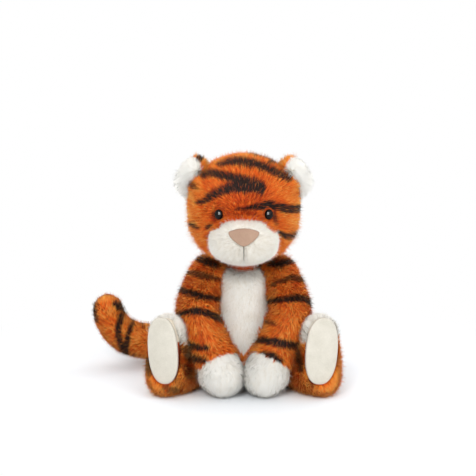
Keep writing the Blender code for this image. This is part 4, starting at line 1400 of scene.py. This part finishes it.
# far from the toy the floor is the same white as the background
spot = node(tree, "ShaderNodeNewGeometry")
far = node(tree, "ShaderNodeVectorMath", {0: spot.outputs["Position"]}, operation="LENGTH")
fadeRange = {"Value": far.outputs["Value"], "From Min": floorSizes["near"], "From Max": floorSizes["far"]}
fade = node(tree, "ShaderNodeMapRange", fadeRange, interpolation_type="SMOOTHSTEP")
paths = node(tree, "ShaderNodeLightPath")
seenFloor = math2(tree, "MULTIPLY", fade.outputs[0], paths.outputs["Is Camera Ray"])
glow = node(tree, "ShaderNodeEmission", {"Color": white, "Strength": 1.0})
blend = node(tree, "ShaderNodeMixShader", {0: seenFloor, 1: floorShader.outputs[0], 2: glow.outputs[0]})
tree.links.new(blend.outputs[0], tree.nodes["Material Output"].inputs[0])
half = floorSizes["half"]
floorCorners = [(-half, -half, 0), (half, -half, 0), (half, half, 0), (-half, half, 0)]
newObject("floor", floorCorners, [(0, 1, 2, 3)], floorMaterial)

# name, place, size, power and what each is aimed at
middle = (0, 0, 0.1)
lamps = (
    ("key", (-0.35, -1.35, 1.05), 0.5, 12.5, middle), ("fill", (0.95, -1.0, 0.7), 1.2, 7.5, middle),
    ("top", (0.0, 0.3, 1.5), 1.4, 4.4, middle), ("behindLeft", (-1.1, 0.8, 0.8), 1.0, 4.2, middle),
    ("behindRight", (1.1, 0.8, 0.8), 1.0, 3.8, middle),
    ("mirrored", (-0.06, -1.25, 0.62), 1.1, 100.0, (0, -0.05, 0.18)),
)
for name, place, size, power, target in lamps:
    lamp = linked(name, bpy.data.lights.new(name, "AREA"))
    lamp.data.energy = power
    lamp.data.size = size
    aimed(lamp, place, target)
# the last is a wide lamp that only the eyes mirror, as the bright spot in each
lamp.visible_diffuse = False
onlyEyes = bpy.data.collections.new("onlyEyes")
for eye in eyes:
    onlyEyes.objects.link(eye)
lamp.light_linking.receiver_collection = onlyEyes

world = bpy.data.worlds.new("room")
scene.world = world
world.use_nodes = True
tree = world.node_tree
tree.nodes.clear()
paths = node(tree, "ShaderNodeLightPath").outputs
seen = math2(tree, "MAXIMUM", paths["Is Glossy Ray"], paths["Is Transmission Ray"])
seen = math2(tree, "MAXIMUM", paths["Is Camera Ray"], seen)
strength = math2(tree, "ADD", math2(tree, "MULTIPLY", seen, 0.3), 0.7)
sky = node(tree, "ShaderNodeBackground", {0: white, 1: strength})
node(tree, "ShaderNodeOutputWorld", {0: sky.outputs[0]})

scene.view_settings.view_transform = "Standard"
print("lit and framed")
